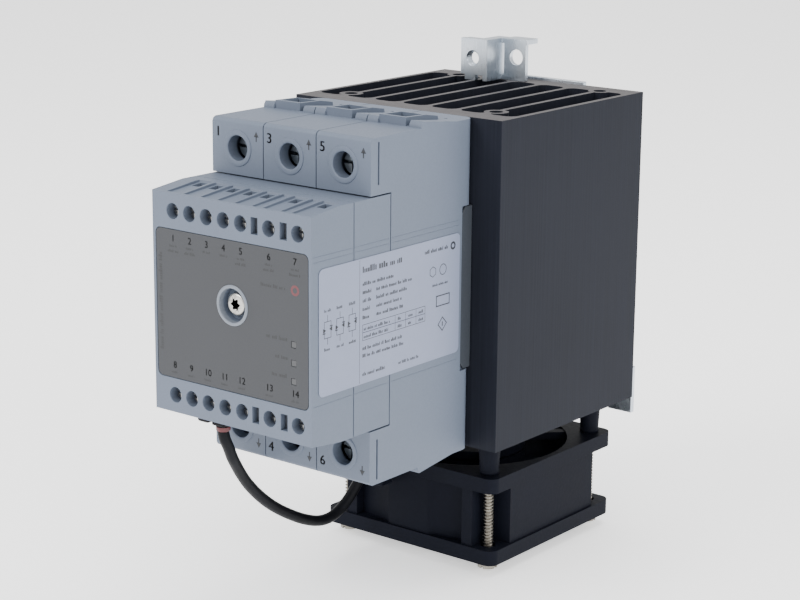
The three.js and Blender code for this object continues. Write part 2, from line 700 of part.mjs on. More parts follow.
add('fan_frame', fanFrame(), BLACK_PLASTIC);
add('fan_rotor', fanRotor(), BLACK_PLASTIC);
add('fan_stator', fanStator(), COPPER);
let corner = 0;
for (const y of [FAN_Y - FAN_HOLE, FAN_Y + FAN_HOLE]) {
  for (const x of [-FAN_HOLE, FAN_HOLE]) {
    corner += 1;
    add(`fan_screw_${corner}`, fanScrew(x, y), STEEL);
    add(`fan_spacer_${corner}`, fanSpacer(x, y), BLACK_PLASTIC);
  }
}
add('fan_cable', fanCable(), BLACK_PLASTIC);
add('fan_plug', fanPlug(), BLACK_PLASTIC);
add('cable_grommet', cableGrommet(), BLACK_PLASTIC);

export default group;
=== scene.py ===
"""Looks of a three-pole solid state relay with a control module, a finned heatsink and a fan.

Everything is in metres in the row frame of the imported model: +X right, +Y into the wall, +Z up.
Sizes in the classes are millimetres and pass through MM where they meet the mesh.
"""

from __future__ import annotations

import logging
import math
import random
from dataclasses import dataclass
from enum import Enum
from typing import Optional, Sequence, Union

import bmesh
import bpy
from mathutils import Matrix, Quaternion, Vector

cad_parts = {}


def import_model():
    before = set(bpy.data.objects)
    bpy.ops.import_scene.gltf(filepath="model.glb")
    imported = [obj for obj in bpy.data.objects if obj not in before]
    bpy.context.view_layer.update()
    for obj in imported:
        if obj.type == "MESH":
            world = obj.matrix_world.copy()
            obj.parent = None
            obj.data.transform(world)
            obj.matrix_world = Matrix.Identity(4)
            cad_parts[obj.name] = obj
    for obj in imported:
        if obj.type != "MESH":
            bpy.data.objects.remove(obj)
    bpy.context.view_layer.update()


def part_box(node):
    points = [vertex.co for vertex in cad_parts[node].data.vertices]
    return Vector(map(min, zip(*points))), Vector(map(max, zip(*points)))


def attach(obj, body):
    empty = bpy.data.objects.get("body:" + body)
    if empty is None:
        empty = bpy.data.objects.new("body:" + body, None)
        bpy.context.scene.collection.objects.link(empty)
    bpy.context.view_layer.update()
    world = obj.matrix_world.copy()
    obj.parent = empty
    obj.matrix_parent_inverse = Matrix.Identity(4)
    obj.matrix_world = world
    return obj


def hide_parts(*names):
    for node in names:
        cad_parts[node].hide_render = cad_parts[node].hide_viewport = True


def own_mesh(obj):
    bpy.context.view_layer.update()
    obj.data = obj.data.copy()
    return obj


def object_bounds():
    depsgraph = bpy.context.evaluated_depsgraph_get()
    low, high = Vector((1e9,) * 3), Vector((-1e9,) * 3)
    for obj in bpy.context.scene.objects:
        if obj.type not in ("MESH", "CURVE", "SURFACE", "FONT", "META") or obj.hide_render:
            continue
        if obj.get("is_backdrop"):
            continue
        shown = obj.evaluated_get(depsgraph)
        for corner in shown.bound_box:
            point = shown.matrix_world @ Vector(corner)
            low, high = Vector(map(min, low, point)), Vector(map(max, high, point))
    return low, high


LOG = logging.getLogger("relay")
MM = 0.001
RELAY = "relay"
UP = (0, 0, 1)
DOWN = (0, 0, -1)
ALONG = (1, 0, 0)
INWARD = (0, 1, 0)
FRONT = (0, -1, 0)
Colour = tuple[float, float, float]
Number = Union[float, "Wire"]
Profile = Sequence[tuple[float, float]]


# ---- shader writing -----------------------------------------------------------------------
class Wire:
    """A value leaving a node, with Python arithmetic that adds Math nodes."""

    def __init__(self, tree: "ShaderTree", socket: bpy.types.NodeSocket) -> None:
        """Keep the tree that new nodes go to, and the socket."""
        self.tree = tree
        self.socket = socket

    def _math(self, operation: str, left: Number, right: Number) -> "Wire":
        """Add one Math node.

        Args:
            operation: the Math node's operation.
            left: its first value or link.
            right: its second value or link.

        Returns:
            The node's result.
        """
        return self.tree.add("ShaderNodeMath", {"operation": operation}, {0: left, 1: right})

    def __add__(self, other: Number) -> "Wire":
        """Sum."""
        return self._math("ADD", self, other)

    __radd__ = __add__

    def __sub__(self, other: Number) -> "Wire":
        """Difference."""
        return self._math("SUBTRACT", self, other)

    def __rsub__(self, other: Number) -> "Wire":
        """Difference from a plain number."""
        return self._math("SUBTRACT", other, self)

    def __mul__(self, other: Number) -> "Wire":
        """Product."""
        return self._math("MULTIPLY", self, other)

    __rmul__ = __mul__

    def __abs__(self) -> "Wire":
        """Size without sign."""
        return self._math("ABSOLUTE", self, 0.0)

    def between(self, low: float, high: float) -> "Wire":
        """Rise from 0 at low to 1 at high, flat outside."""
        return self.tree.add(
            "ShaderNodeMapRange",
            {"clamp": True},
            {"Value": self, "From Min": low, "From Max": high},
        )


class ShaderTree:
    """A material's node tree, with its shader and a few shorthands."""

    def __init__(self, name: str) -> None:
        """Start an empty material with a Principled shader."""
        self.material = bpy.data.materials.new(name)
        self.material.use_nodes = True
        self.nodes = self.material.node_tree.nodes
        self.links = self.material.node_tree.links
        self.nodes.clear()
        output = self.nodes.new("ShaderNodeOutputMaterial")
        self.shader = self.nodes.new("ShaderNodeBsdfPrincipled")
        self.links.new(self.shader.outputs[0], output.inputs[0])

    def add(
        self,
        kind: str,
        settings: Optional[dict] = None,
        inputs: Optional[dict] = None,
        output: Union[int, str] = 0,
    ) -> Wire:
        """Add any node.

        Args:
            kind: the node's type.
            settings: properties set first.
            inputs: socket name or number to a value or Wire.
            output: which output the result comes from.

        Returns:
            The chosen output.
        """
        node = self.nodes.new(kind)
        for key, value in (settings or {}).items():
            setattr(node, key, value)
        for key, value in (inputs or {}).items():
            self.feed(node.inputs[key], value)
        return Wire(self, node.outputs[output])

    def feed(self, socket: bpy.types.NodeSocket, value: Union[Number, Sequence[float]]) -> None:
        """Link a Wire to a socket, or set the socket's own value."""
        if isinstance(value, Wire):
            self.links.new(value.socket, socket)
        elif isinstance(value, (tuple, list)) and len(value) == 3 and socket.type == "RGBA":
            socket.default_value = (*value, 1.0)
        else:
            socket.default_value = value

    def place(self, scale: Sequence[float] = (1, 1, 1), turn: Sequence[float] = (0, 0, 0)) -> Wire:
        """Object coordinates, stretched by scale and turned."""
        coords = self.add("ShaderNodeTexCoord", output="Object")
        return self.add("ShaderNodeMapping", None, {"Vector": coords, "Scale": scale, "Rotation": turn})

    def noise(self, vector: Wire, scale: float, detail: float = 3.0, roughness: float = 0.5) -> Wire:
        """Noise between 0 and 1 with a scale per metre."""
        return self.add(
            "ShaderNodeTexNoise",
            None,
            {"Vector": vector, "Scale": scale, "Detail": detail, "Roughness": roughness},
        )

    def mix(self, factor: Number, first: Union[Colour, Wire], second: Union[Colour, Wire]) -> Wire:
        """Blend two colours."""
        return self.add(
            "ShaderNodeMix", {"data_type": "RGBA"}, {0: factor, 6: first, 7: second}, output=2
        )

    def facing(self, axis: str) -> Wire:
        """The surface normal's part along an axis of the row frame."""
        normal = self.add("ShaderNodeNewGeometry", output="Normal")
        return self.add("ShaderNodeSeparateXYZ", None, {0: normal}, output=axis)

    def relief(self, height: Wire, depth_mm: float) -> Wire:
        """A bump of the given depth."""
        return self.add(
            "ShaderNodeBump", None, {"Strength": 1.0, "Distance": depth_mm * MM, "Height": height}
        )

    def dress(self, **sockets: Union[Number, Colour]) -> bpy.types.Material:
        """Set the shader's sockets, named with underscores for spaces.

        Returns:
            The finished material.
        """
        for name, value in sockets.items():
            self.feed(self.shader.inputs[name.replace("_", " ")], value)
        return self.material


def tinted(colour: Colour, factor: float) -> Colour:
    """A colour made lighter or darker."""
    return tuple(min(1.0, channel * factor) for channel in colour)


@dataclass(frozen=True)
class Moulded:
    """Moulded plastic with an eroded grain, soft clouding and light scuffs."""

    name: str
    colour: Colour
    roughness: float = 0.5
    grain_mm: float = 0.02
    grain_size: float = 1500.0
    clouding: float = 0.05
    dust: float = 0.0
    shine: float = 0.5

    def build(self) -> bpy.types.Material:
        """Returns the material."""
        tree = ShaderTree(self.name)
        place = tree.place()
        cloud = tree.noise(place, 45.0, 4.0)
        grain = tree.noise(place, self.grain_size, 2.0, 0.6)
        streak = tree.noise(tree.place((1.0, 1.0, 0.12), (0.3, 0.2, 0.0)), 900.0, 2.0)
        scuff = streak.between(0.66, 0.74) * cloud.between(0.5, 0.7)
        base = tree.mix(
            cloud.between(0.3, 0.7),
            tinted(self.colour, 1 - self.clouding),
            tinted(self.colour, 1 + self.clouding),
        )
        settled = tree.facing("Z").between(0.4, 1.0) * cloud * self.dust
        base = tree.mix(scuff * 0.25 + settled, base, tinted(self.colour, 1.35))
        base = tree.mix(grain.between(0.35, 0.75) * 0.18, base, tinted(self.colour, 0.8))
        return tree.dress(
            Base_Color=base,
            Roughness=(grain - 0.5) * 0.16 + (cloud - 0.5) * 0.12 + self.roughness + scuff * 0.08,
            Specular_IOR_Level=self.shine,
            Normal=tree.relief(grain, self.grain_mm),
        )


@dataclass(frozen=True)
class Extruded:
    """Black anodised extrusion: die lines run up it, and its sawn ends are greyer."""

    name: str
    colour: Colour
    sawn: Colour

    def build(self) -> bpy.types.Material:
        """Returns the material."""
        tree = ShaderTree(self.name)
        place = tree.place()
        lines = tree.noise(tree.place((1.0, 1.0, 0.012)), 1400.0, 4.0, 0.7)
        cloud = tree.noise(place, 28.0, 3.0)
        pits = tree.noise(place, 2600.0, 2.0)
        end = abs(tree.facing("Z")).between(0.85, 0.97)
        saw = tree.noise(tree.place((0.06, 1.0, 1.0), (0.0, 0.0, 0.5)), 1900.0, 3.0, 0.65)
        wall = tree.mix(lines.between(0.3, 0.75), tinted(self.colour, 0.78), tinted(self.colour, 1.28))
        wall = tree.mix(cloud.between(0.35, 0.75) * 0.35, wall, tinted(self.colour, 1.4))
        cut = tree.mix(saw.between(0.3, 0.7), tinted(self.sawn, 0.72), tinted(self.sawn, 1.2))
        height = lines * (1.0 - end) + saw * end * 0.8 + pits * 0.25
        return tree.dress(
            Base_Color=tree.mix(end, wall, cut),
            Metallic=end * 0.1,
            Specular_IOR_Level=0.06,
            Roughness=(lines - 0.5) * 0.22 + (pits - 0.5) * 0.1 + 0.46,
            Normal=tree.relief(height, 0.03),
        )


@dataclass(frozen=True)
class Plated:
    """Plated or bare metal with brushing, handling marks and a tint that drifts."""

    name: str
    colour: Colour
    tint: Colour
    roughness: float = 0.28
    brush: Sequence[float] = (1.0, 1.0, 0.05)

    def build(self) -> bpy.types.Material:
        """Returns the material."""
        tree = ShaderTree(self.name)
        place = tree.place()
        drift = tree.noise(place, 160.0, 3.0)
        brushed = tree.noise(tree.place(self.brush), 3200.0, 3.0, 0.7)
        spot = tree.noise(place, 900.0, 2.0).between(0.62, 0.72)
        base = tree.mix(drift.between(0.35, 0.7), self.colour, self.tint)
        base = tree.mix(brushed.between(0.4, 0.8) * 0.16, base, tinted(self.colour, 0.62))
        return tree.dress(
            Base_Color=base,
            Metallic=1.0 - spot * 0.15,
            Roughness=(brushed - 0.5) * 0.22 + spot * 0.12 + self.roughness,
            Normal=tree.relief(brushed, 0.006),
        )


@dataclass(frozen=True)
class Film:
    """Printed or self-adhesive film: smooth, faintly mottled, with a soft sheen."""

    name: str
    colour: Colour
    roughness: float = 0.42

    def build(self) -> bpy.types.Material:
        """Returns the material."""
        tree = ShaderTree(self.name)
        place = tree.place()
        mottle = tree.noise(place, 420.0, 3.0)
        wave = tree.noise(place, 40.0, 2.0)
        base = tree.mix(wave.between(0.3, 0.7), tinted(self.colour, 0.97), tinted(self.colour, 1.03))
        base = tree.mix(mottle.between(0.4, 0.8) * 0.15, base, tinted(self.colour, 0.9))
        return tree.dress(
            Base_Color=base,
            Roughness=(mottle - 0.5) * 0.14 + self.roughness,
            Normal=tree.relief(mottle * 0.4 + wave, 0.02),
        )


@dataclass(frozen=True)
class Ink:
    """Pad-printed or inkjet ink with slightly worn coverage."""

    name: str
    colour: Colour
    worn: Colour

    def build(self) -> bpy.types.Material:
        """Returns the material."""
        tree = ShaderTree(self.name)
        wear = tree.noise(tree.place(), 2400.0, 3.0, 0.6)
        return tree.dress(
            Base_Color=tree.mix(wear.between(0.56, 0.76) * 0.6, self.colour, self.worn),
            Roughness=wear * 0.3 + 0.35,
        )


@dataclass(frozen=True)
class Sheath:
    """Soft black cable sheath with drawing marks and a waxy highlight."""

    name: str
    colour: Colour

    def build(self) -> bpy.types.Material:
        """Returns the material."""
        tree = ShaderTree(self.name)
        place = tree.place()
        rub = tree.noise(place, 700.0, 4.0, 0.65)
        cloud = tree.noise(place, 90.0, 2.0)
        base = tree.mix(cloud.between(0.3, 0.7), self.colour, tinted(self.colour, 1.5))
        base = tree.mix(rub.between(0.6, 0.8) * 0.3, base, (0.018, 0.018, 0.021))
        return tree.dress(
            Base_Color=base,
            Specular_IOR_Level=0.08,
            Roughness=(rub - 0.5) * 0.3 + 0.45,
            Normal=tree.relief(rub, 0.03),
        )


@dataclass(frozen=True)
class Board:
    """Circuit board lacquer with buried copper tracks."""

    name: str
    colour: Colour
    track: Colour

    def build(self) -> bpy.types.Material:
        """Returns the material."""
        tree = ShaderTree(self.name)
        grid = tree.add(
            "ShaderNodeTexVoronoi",
            {"distance": "MANHATTAN", "feature": "DISTANCE_TO_EDGE"},
            {"Vector": tree.place(), "Scale": 260.0},
        )
        weave = tree.noise(tree.place(), 2000.0, 2.0)
        return tree.dress(
            Base_Color=tree.mix(grid.between(0.12, 0.05), self.colour, self.track),
            Roughness=weave * 0.25 + 0.3,
            Normal=tree.relief(grid.between(0.0, 0.15), 0.03),
        )


@dataclass(frozen=True)
class Winding:
    """Enamelled copper wire laid in rows, with painted shade in the grooves between the rows."""

    name: str
    colour: Colour

    def build(self) -> bpy.types.Material:
        """Returns the material."""
        tree = ShaderTree(self.name)
        rows = tree.add(
            "ShaderNodeTexWave",
            {"wave_type": "BANDS", "bands_direction": "Z"},
            {"Vector": tree.place(), "Scale": 900.0, "Distortion": 0.6, "Detail": 1.0},
            output="Fac",
        )
        patch = tree.noise(tree.place(), 300.0, 3.0)
        return tree.dress(
            # the darker copper between rows is painted shade in the grooves between turns
            Base_Color=tree.mix(rows, tinted(self.colour, 0.45), tinted(self.colour, 1.15)),
            Metallic=patch * 0.2 + 0.7,
            Roughness=patch * 0.25 + 0.25,
            Normal=tree.relief(rows, 0.08),
        )


TURNED = (1.0, 0.08, 1.0)  # brushing that runs along Y, as on a screw's end


class Finish(Enum):
    """Every finish on the object."""

    HOUSING = Moulded(
        "housing_grey", (0.110, 0.133, 0.178), grain_mm=0.018, grain_size=1700.0, clouding=0.03, shine=0.3
    )
    FACE = Moulded(
        "printed_film", (0.048, 0.050, 0.055), grain_mm=0.01, grain_size=2400.0, clouding=0.03, shine=0.2
    )
    RING = Moulded(
        "ring_grey", (0.15, 0.17, 0.205), 0.42, grain_mm=0.01, grain_size=2000.0, clouding=0.03
    )
    CLIP = Moulded("dark_clip", (0.034, 0.040, 0.050), 0.55, clouding=0.06, shine=0.35)
    BLACK = Moulded(
        "fan_black", (0.0062, 0.0072, 0.0120), 0.48,
        grain_mm=0.03, grain_size=1100.0, clouding=0.14, dust=0.1, shine=0.04,
    )
    # dark grey of the coding keys: partly their own plastic, partly painted shade of the slots they sit in
    POCKET = Moulded("pocket_grey", (0.036, 0.040, 0.050), 0.6, clouding=0.06)
    SINK = Extruded("anodised_extrusion", (0.0120, 0.0135, 0.0195), (0.078, 0.073, 0.075))
    ZINC = Plated("bright_zinc", (0.60, 0.64, 0.69), (0.50, 0.56, 0.63), 0.3)
    STEEL = Plated("turned_steel", (0.50, 0.49, 0.46), (0.38, 0.37, 0.35), 0.3, TURNED)
    DARK_STEEL = Plated("dark_screw", (0.155, 0.185, 0.215), (0.24, 0.26, 0.28), 0.34, TURNED)
    THREAD = Plated("thread_steel", (0.34, 0.32, 0.28), (0.24, 0.22, 0.19), 0.38)
    COPPER = Plated("tinned_copper", (0.66, 0.42, 0.30), (0.55, 0.50, 0.46), 0.34)
    LABEL = Film("label_film", (0.188, 0.216, 0.305))
    INK = Ink("print_ink", (0.014, 0.016, 0.022), (0.05, 0.052, 0.06))
    FAINT_INK = Ink("face_ink", (0.010, 0.011, 0.013), (0.03, 0.031, 0.034))
    SHEATH = Sheath("cable_sheath", (0.0045, 0.0047, 0.0060))
    RED = Moulded("red_core", (0.085, 0.010, 0.013), 0.45, grain_mm=0.005, clouding=0.1)
    BADGE = Moulded("badge_ink", (0.10, 0.018, 0.024), 0.45, grain_mm=0.004, clouding=0.08)
    PALE_STEEL = Plated("pale_steel", (0.62, 0.61, 0.58), (0.50, 0.48, 0.45), 0.36, TURNED)
    BOARD = Board("board_lacquer", (0.012, 0.085, 0.035), (0.035, 0.16, 0.07))
    WINDING = Winding("copper_winding", (0.55, 0.22, 0.09))
    LAMP = Film("lamp_window", (0.040, 0.042, 0.046), 0.22)

    def material(self) -> bpy.types.Material:
        """The finish's material, made once."""
        return bpy.data.materials.get(self.value.name) or self.value.build()


# ---- mesh making --------------------------------------------------------------------------
def turn_to(axis: Sequence[float]) -> Matrix:
    """The turn that brings +Z to an axis."""
    return Vector((0, 0, 1)).rotation_difference(Vector(axis)).to_matrix().to_4x4()


def at(base: Sequence[float]) -> Matrix:
    """The shift to a place in millimetres."""
    return Matrix.Translation(Vector(base) * MM)


class Maker:
    """A mesh being made. Sizes given to it are millimetres in the row frame."""

    def __init__(self) -> None:
        """Start with nothing."""
        self.bm = bmesh.new()

    @classmethod
    def of_node(cls, node: str) -> "Maker":
        """A merged copy of a CAD node, its flat faces made whole again."""
        maker = cls()
        maker.bm.from_mesh(bpy.data.objects[node].data)
        bmesh.ops.remove_doubles(maker.bm, verts=maker.bm.verts, dist=0.002 * MM)
        bmesh.ops.dissolve_limit(
            maker.bm,
            angle_limit=math.radians(0.4),
            verts=maker.bm.verts,
            edges=maker.bm.edges,
        )
        return maker

    def soften(self, width: float, segments: int = 2, angle: float = 34.0) -> "Maker":
        """Round every edge sharper than an angle.

        Args:
            width: the rounding's width.
            segments: how many faces cross it.
            angle: the least angle between an edge's two faces, in degrees.

        Returns:
            The maker itself.
        """
        limit = math.radians(angle)
        sharp = [e for e in self.bm.edges if e.is_manifold and e.calc_face_angle() > limit]
        bmesh.ops.bevel(
            self.bm,
            geom=sharp,
            offset=width * MM,
            offset_type="OFFSET",
            segments=segments,
            profile=0.5,
            affect="EDGES",
            clamp_overlap=True,
            material=-1,
        )
        return self

    def take(self, other: "Maker", matrix: Optional[Matrix] = None, closed: bool = True) -> "Maker":
        """Add another maker's shapes and use it up.

        Args:
            other: the maker that is added.
            matrix: moves its shapes first.
            closed: turns the faces of closed shapes outwards; flat print keeps its own.

        Returns:
            The maker itself.
        """
        if matrix is not None:
            bmesh.ops.transform(other.bm, matrix=matrix, verts=other.bm.verts)
        if closed:
            bmesh.ops.recalc_face_normals(other.bm, faces=other.bm.faces)
        mesh = bpy.data.meshes.new("passing")
        other.bm.to_mesh(mesh)
        other.bm.free()
        self.bm.from_mesh(mesh)
        bpy.data.meshes.remove(mesh)
        return self

    def block(self, low: Sequence[float], high: Sequence[float], soft: float = 0.0) -> "Maker":
        """Add a box between two corners, its edges rounded if soft is more than 0."""
        part = Maker()
        bmesh.ops.create_cube(part.bm, size=1.0)
        bmesh.ops.scale(part.bm, vec=[(b - a) * MM for a, b in zip(low, high)], verts=part.bm.verts)
        if soft > 0:
            part.soften(soft, 3)
        return self.take(part, at([(a + b) / 2 for a, b in zip(low, high)]))

    def _profile(self, profile: Profile) -> list[Union[bmesh.types.BMVert, bmesh.types.BMEdge]]:
        """Draw a line through (radius, height) points and return its geometry."""
        verts = [self.bm.verts.new((radius * MM, 0, height * MM)) for radius, height in profile]
        return verts + [self.bm.edges.new(pair) for pair in zip(verts, verts[1:])]

    def turned(
        self,
        profile: Profile,
        base: Sequence[float],
        axis: Sequence[float],
        steps: int = 32,
    ) -> "Maker":
        """Add a closed or axis-ended profile of (radius, height) points spun round an axis.

        Args:
            profile: the points.
            base: where height 0 lies.
            axis: the direction of height.
            steps: how many faces go round.

        Returns:
            The maker itself.
        """
        part = Maker()
        bmesh.ops.spin(
            part.bm, geom=part._profile(profile), cent=(0, 0, 0), axis=UP,
            angle=2 * math.pi, steps=steps, use_merge=True,
        )
        bmesh.ops.remove_doubles(part.bm, verts=part.bm.verts, dist=0.001 * MM)
        return self.take(part, at(base) @ turn_to(axis))

    def helix(
        self,
        profile: Profile,
        pitch: float,
        turns: float,
        base: Sequence[float],
        steps: int = 16,
    ) -> "Maker":
        """Add a profile of (radius, height) points wound upwards round Z.

        Args:
            profile: the points, closed or open.
            pitch: the rise of one turn.
            turns: how many turns.
            base: where the winding starts.
            steps: faces in one turn.

        Returns:
            The maker itself.
        """
        part = Maker()
        bmesh.ops.spin(
            part.bm, geom=part._profile(profile), cent=(0, 0, 0), axis=UP,
            dvec=(0, 0, pitch / steps * MM), angle=2 * math.pi * turns,
            steps=round(steps * turns), use_merge=False,
        )
        bmesh.ops.remove_doubles(part.bm, verts=part.bm.verts, dist=0.0005 * MM)
        return self.take(part, at(base))

    def done(self, name: str, smooth: float = 50.0) -> bpy.types.Object:
        """Close the mesh and make its object.

        Args:
            name: the piece's name.
            smooth: edges flatter than this many degrees are shaded smooth.

        Returns:
            The object, at the origin.
        """
        limit = math.radians(smooth)
        for face in self.bm.faces:
            face.smooth = True
        for edge in self.bm.edges:
            edge.smooth = edge.is_manifold and edge.calc_face_angle() < limit
        mesh = bpy.data.meshes.new(name)
        self.bm.to_mesh(mesh)
        self.bm.free()
        piece = bpy.data.objects.new(name, mesh)
        bpy.context.scene.collection.objects.link(piece)
        even = piece.modifiers.new("even_shading", "WEIGHTED_NORMAL")
        even.keep_sharp = True
        return piece


@dataclass(frozen=True)
class Thread:
    """A core with a tooth wound round it, from height 0 upwards."""

    core: float
    pitch: float
    tooth: Profile
    start: float
    spare: float
    sides: int = 20
    steps: int = 16

    def add(self, maker: Maker, run: float, matrix: Matrix) -> None:
        """Add a threaded shank.

        Args:
            maker: what it is added to.
            run: the shank's length.
            matrix: brings it from height 0 on Z to its place.
        """
        shape = Maker()
        shape.turned([(0, 0), (self.core, 0), (self.core, run), (0, run)], (0, 0, 0), UP, self.sides)
        turns = math.floor(run / self.pitch) - self.spare
        shape.helix(self.tooth, self.pitch, turns, (0, 0, self.start), self.steps)
        maker.take(shape, matrix)


class Drive(Enum):
    """The recess in a screw's head."""

    CROSS = "cross"
    STAR = "star"


@dataclass(frozen=True)
class ScrewHead:
    """A round head with a driver recess. Height 0 is its top, and it goes down from there."""

    radius: float
    length: float
    drive: Drive
    slot: float = 0.8
    depth: float = 1.1
    soft: float = 0.22

    def add(self, maker: Maker, top: Sequence[float], axis: Sequence[float]) -> None:
        """Add the head.

        Args:
            maker: what it is added to.
            top: the middle of its top.
            axis: the way its top faces.
        """
        part = Maker()
        if self.drive is Drive.CROSS:
            self._quarters(part)
            floor = -self.depth
            part.turned(
                [(0, floor), (self.radius, floor), (self.radius, -self.length), (0, -self.length)],
                (0, 0, 0), UP, 40,
            )
        else:
            self._star(part)
        maker.take(part, at(top) @ turn_to(axis))

    def _quarters(self, part: Maker) -> None:
        """Four pads with the slots between them."""
        for turn in range(4):
            pad = Maker()
            bmesh.ops.create_circle(pad.bm, cap_ends=True, radius=self.radius * MM, segments=40)
            for normal in ((1, 0, 0), (0, 1, 0)):
                bmesh.ops.bisect_plane(
                    pad.bm,
                    geom=pad.bm.verts[:] + pad.bm.edges[:] + pad.bm.faces[:],
                    plane_co=Vector(normal) * self.slot / 2 * MM,
                    plane_no=normal,
                    clear_inner=True,
                )
            made = bmesh.ops.extrude_face_region(pad.bm, geom=pad.bm.faces[:])
            moved = [v for v in made["geom"] if isinstance(v, bmesh.types.BMVert)]
            bmesh.ops.translate(pad.bm, vec=(0, 0, -(self.depth + 0.01) * MM), verts=moved)
            pad.soften(self.soft, 2, 60.0)
            part.take(pad, Matrix.Rotation(turn * math.pi / 2, 4, "Z"))

    def _star(self, part: Maker) -> None:
        """A domed head with a six-lobed recess."""
        sides = 48
        shape = Maker()
        rings = []
        for radius, height in (
            (self.radius, -self.length), (self.radius, -0.5), (self.radius * 0.93, -0.2),
            (self.radius * 0.78, 0.0),
        ):
            made = bmesh.ops.create_circle(shape.bm, radius=radius * MM, segments=sides)["verts"]
            bmesh.ops.translate(shape.bm, vec=(0, 0, height * MM), verts=made)
            rings.append(made)
        for height in (0.0, -self.depth):
            made = bmesh.ops.create_circle(
                shape.bm, radius=self.radius * 0.43 * MM, segments=sides,
                cap_ends=height < 0,
            )["verts"]
            for vert in made:
                lobe = 1 + 0.24 * math.cos(6 * math.atan2(vert.co.y, vert.co.x))
                vert.co *= lobe
            bmesh.ops.translate(shape.bm, vec=(0, 0, height * MM), verts=made)
            rings.append(made)
        for first, second in zip(rings, rings[1:]):
            edges = {e for v in first + second for e in v.link_edges}
            edges = [
                e for e in edges
                if all(v in first for v in e.verts) or all(v in second for v in e.verts)
            ]
            bmesh.ops.bridge_loops(shape.bm, edges=edges)
        part.take(shape)


class Print:
    """Flat print on a surface. Its places are millimetres along the surface."""

    font_size = 1.42  # the font's size over the height of its figures
    stroke_gain = 0.045

    def __init__(self, origin: Sequence[float], along: Sequence[float], up: Sequence[float]) -> None:
        """Start a print.

        Args:
            origin: the point of the surface that is (0, 0) on the print.
            along: the direction that rows run in.
            up: the direction of a character's height.
        """
        self.maker = Maker()
        along, up = Vector(along), Vector(up)
        turn = Matrix((along, up, along.cross(up))).transposed().to_4x4()
        self.matrix = at(origin) @ turn
        self.draws = random.Random(7)

    def bar(self, left: float, right: float, low: float, high: float) -> "Print":
        """Add a filled rectangle."""
        part = Maker()
        bmesh.ops.create_grid(part.bm, x_segments=1, y_segments=1, size=0.5 * MM)
        size = (right - left, high - low, 1)
        bmesh.ops.scale(part.bm, vec=size, verts=part.bm.verts)
        middle = at(((left + right) / 2, (low + high) / 2, 0))
        return self._keep(part, middle)

    def _keep(self, part: Maker, matrix: Matrix) -> "Print":
        """Take a part that faces up on the print."""
        self.maker.take(part, self.matrix @ matrix, closed=False)
        return self

    def words(self, left: float, right: float, level: float, height: float) -> "Print":
        """Add a row of strokes that only stands for print and can't be read."""
        place = left
        while place < right - height * 0.5:
            for _ in range(self.draws.randint(3, 8)):
                wide = height * self.draws.uniform(0.16, 0.5)
                if place + wide > right:
                    break
                tall = height * self.draws.choice((0.62, 0.62, 0.8, 1.0))
                self.bar(place, place + wide, level, level + tall)
                place += wide + height * 0.13
            place += height * 0.5
        return self

    def frame(self, left: float, right: float, low: float, high: float, line: float) -> "Print":
        """Add a rectangle's outline."""
        self.bar(left, right, low, low + line)
        self.bar(left, right, high - line, high)
        self.bar(left, left + line, low, high)
        return self.bar(right - line, right, low, high)

    def ring(self, middle: tuple[float, float], outer: float, inner: float, sides: int = 28) -> "Print":
        """Add a flat ring, or a polygon's outline with few sides."""
        part = Maker()
        loops = [
            bmesh.ops.create_circle(part.bm, radius=radius * MM, segments=sides)["verts"]
            for radius in (outer, inner)
        ]
        edges = {e for loop in loops for v in loop for e in v.link_edges}
        bmesh.ops.bridge_loops(part.bm, edges=list(edges))
        return self._keep(part, at((*middle, 0)))

    def arrowhead(self, middle: tuple[float, float], radius: float, turn: float = 0.0) -> "Print":
        """Add a filled triangle that points up the print, or is turned from there."""
        part = Maker()
        bmesh.ops.create_circle(part.bm, cap_ends=True, radius=radius * MM, segments=3)
        return self._keep(part, at((*middle, 0)) @ Matrix.Rotation(turn, 4, "Z"))

    def figures(self, digits: str, middle: tuple[float, float], height: float) -> "Print":
        """Add plain figures, laid down three times a little apart for a heavier stroke."""
        curve = bpy.data.curves.new("figures", "FONT")
        curve.body = digits
        curve.size = height * self.font_size * MM
        curve.align_x = curve.align_y = "CENTER"
        holder = bpy.data.objects.new("figures", curve)
        bpy.context.scene.collection.objects.link(holder)
        graph = bpy.context.evaluated_depsgraph_get()
        mesh = bpy.data.meshes.new_from_object(holder.evaluated_get(graph))
        for side in (-1, 0, 1):
            part = Maker()
            part.bm.from_mesh(mesh)
            shift = side * self.stroke_gain * height
            self._keep(part, at((middle[0] + shift, middle[1], 0)))
        bpy.data.objects.remove(holder)
        bpy.data.meshes.remove(mesh)
        bpy.data.curves.remove(curve)
        return self

    def done(self, name: str) -> bpy.types.Object:
        """Make the print's object."""
        return self.maker.done(name)


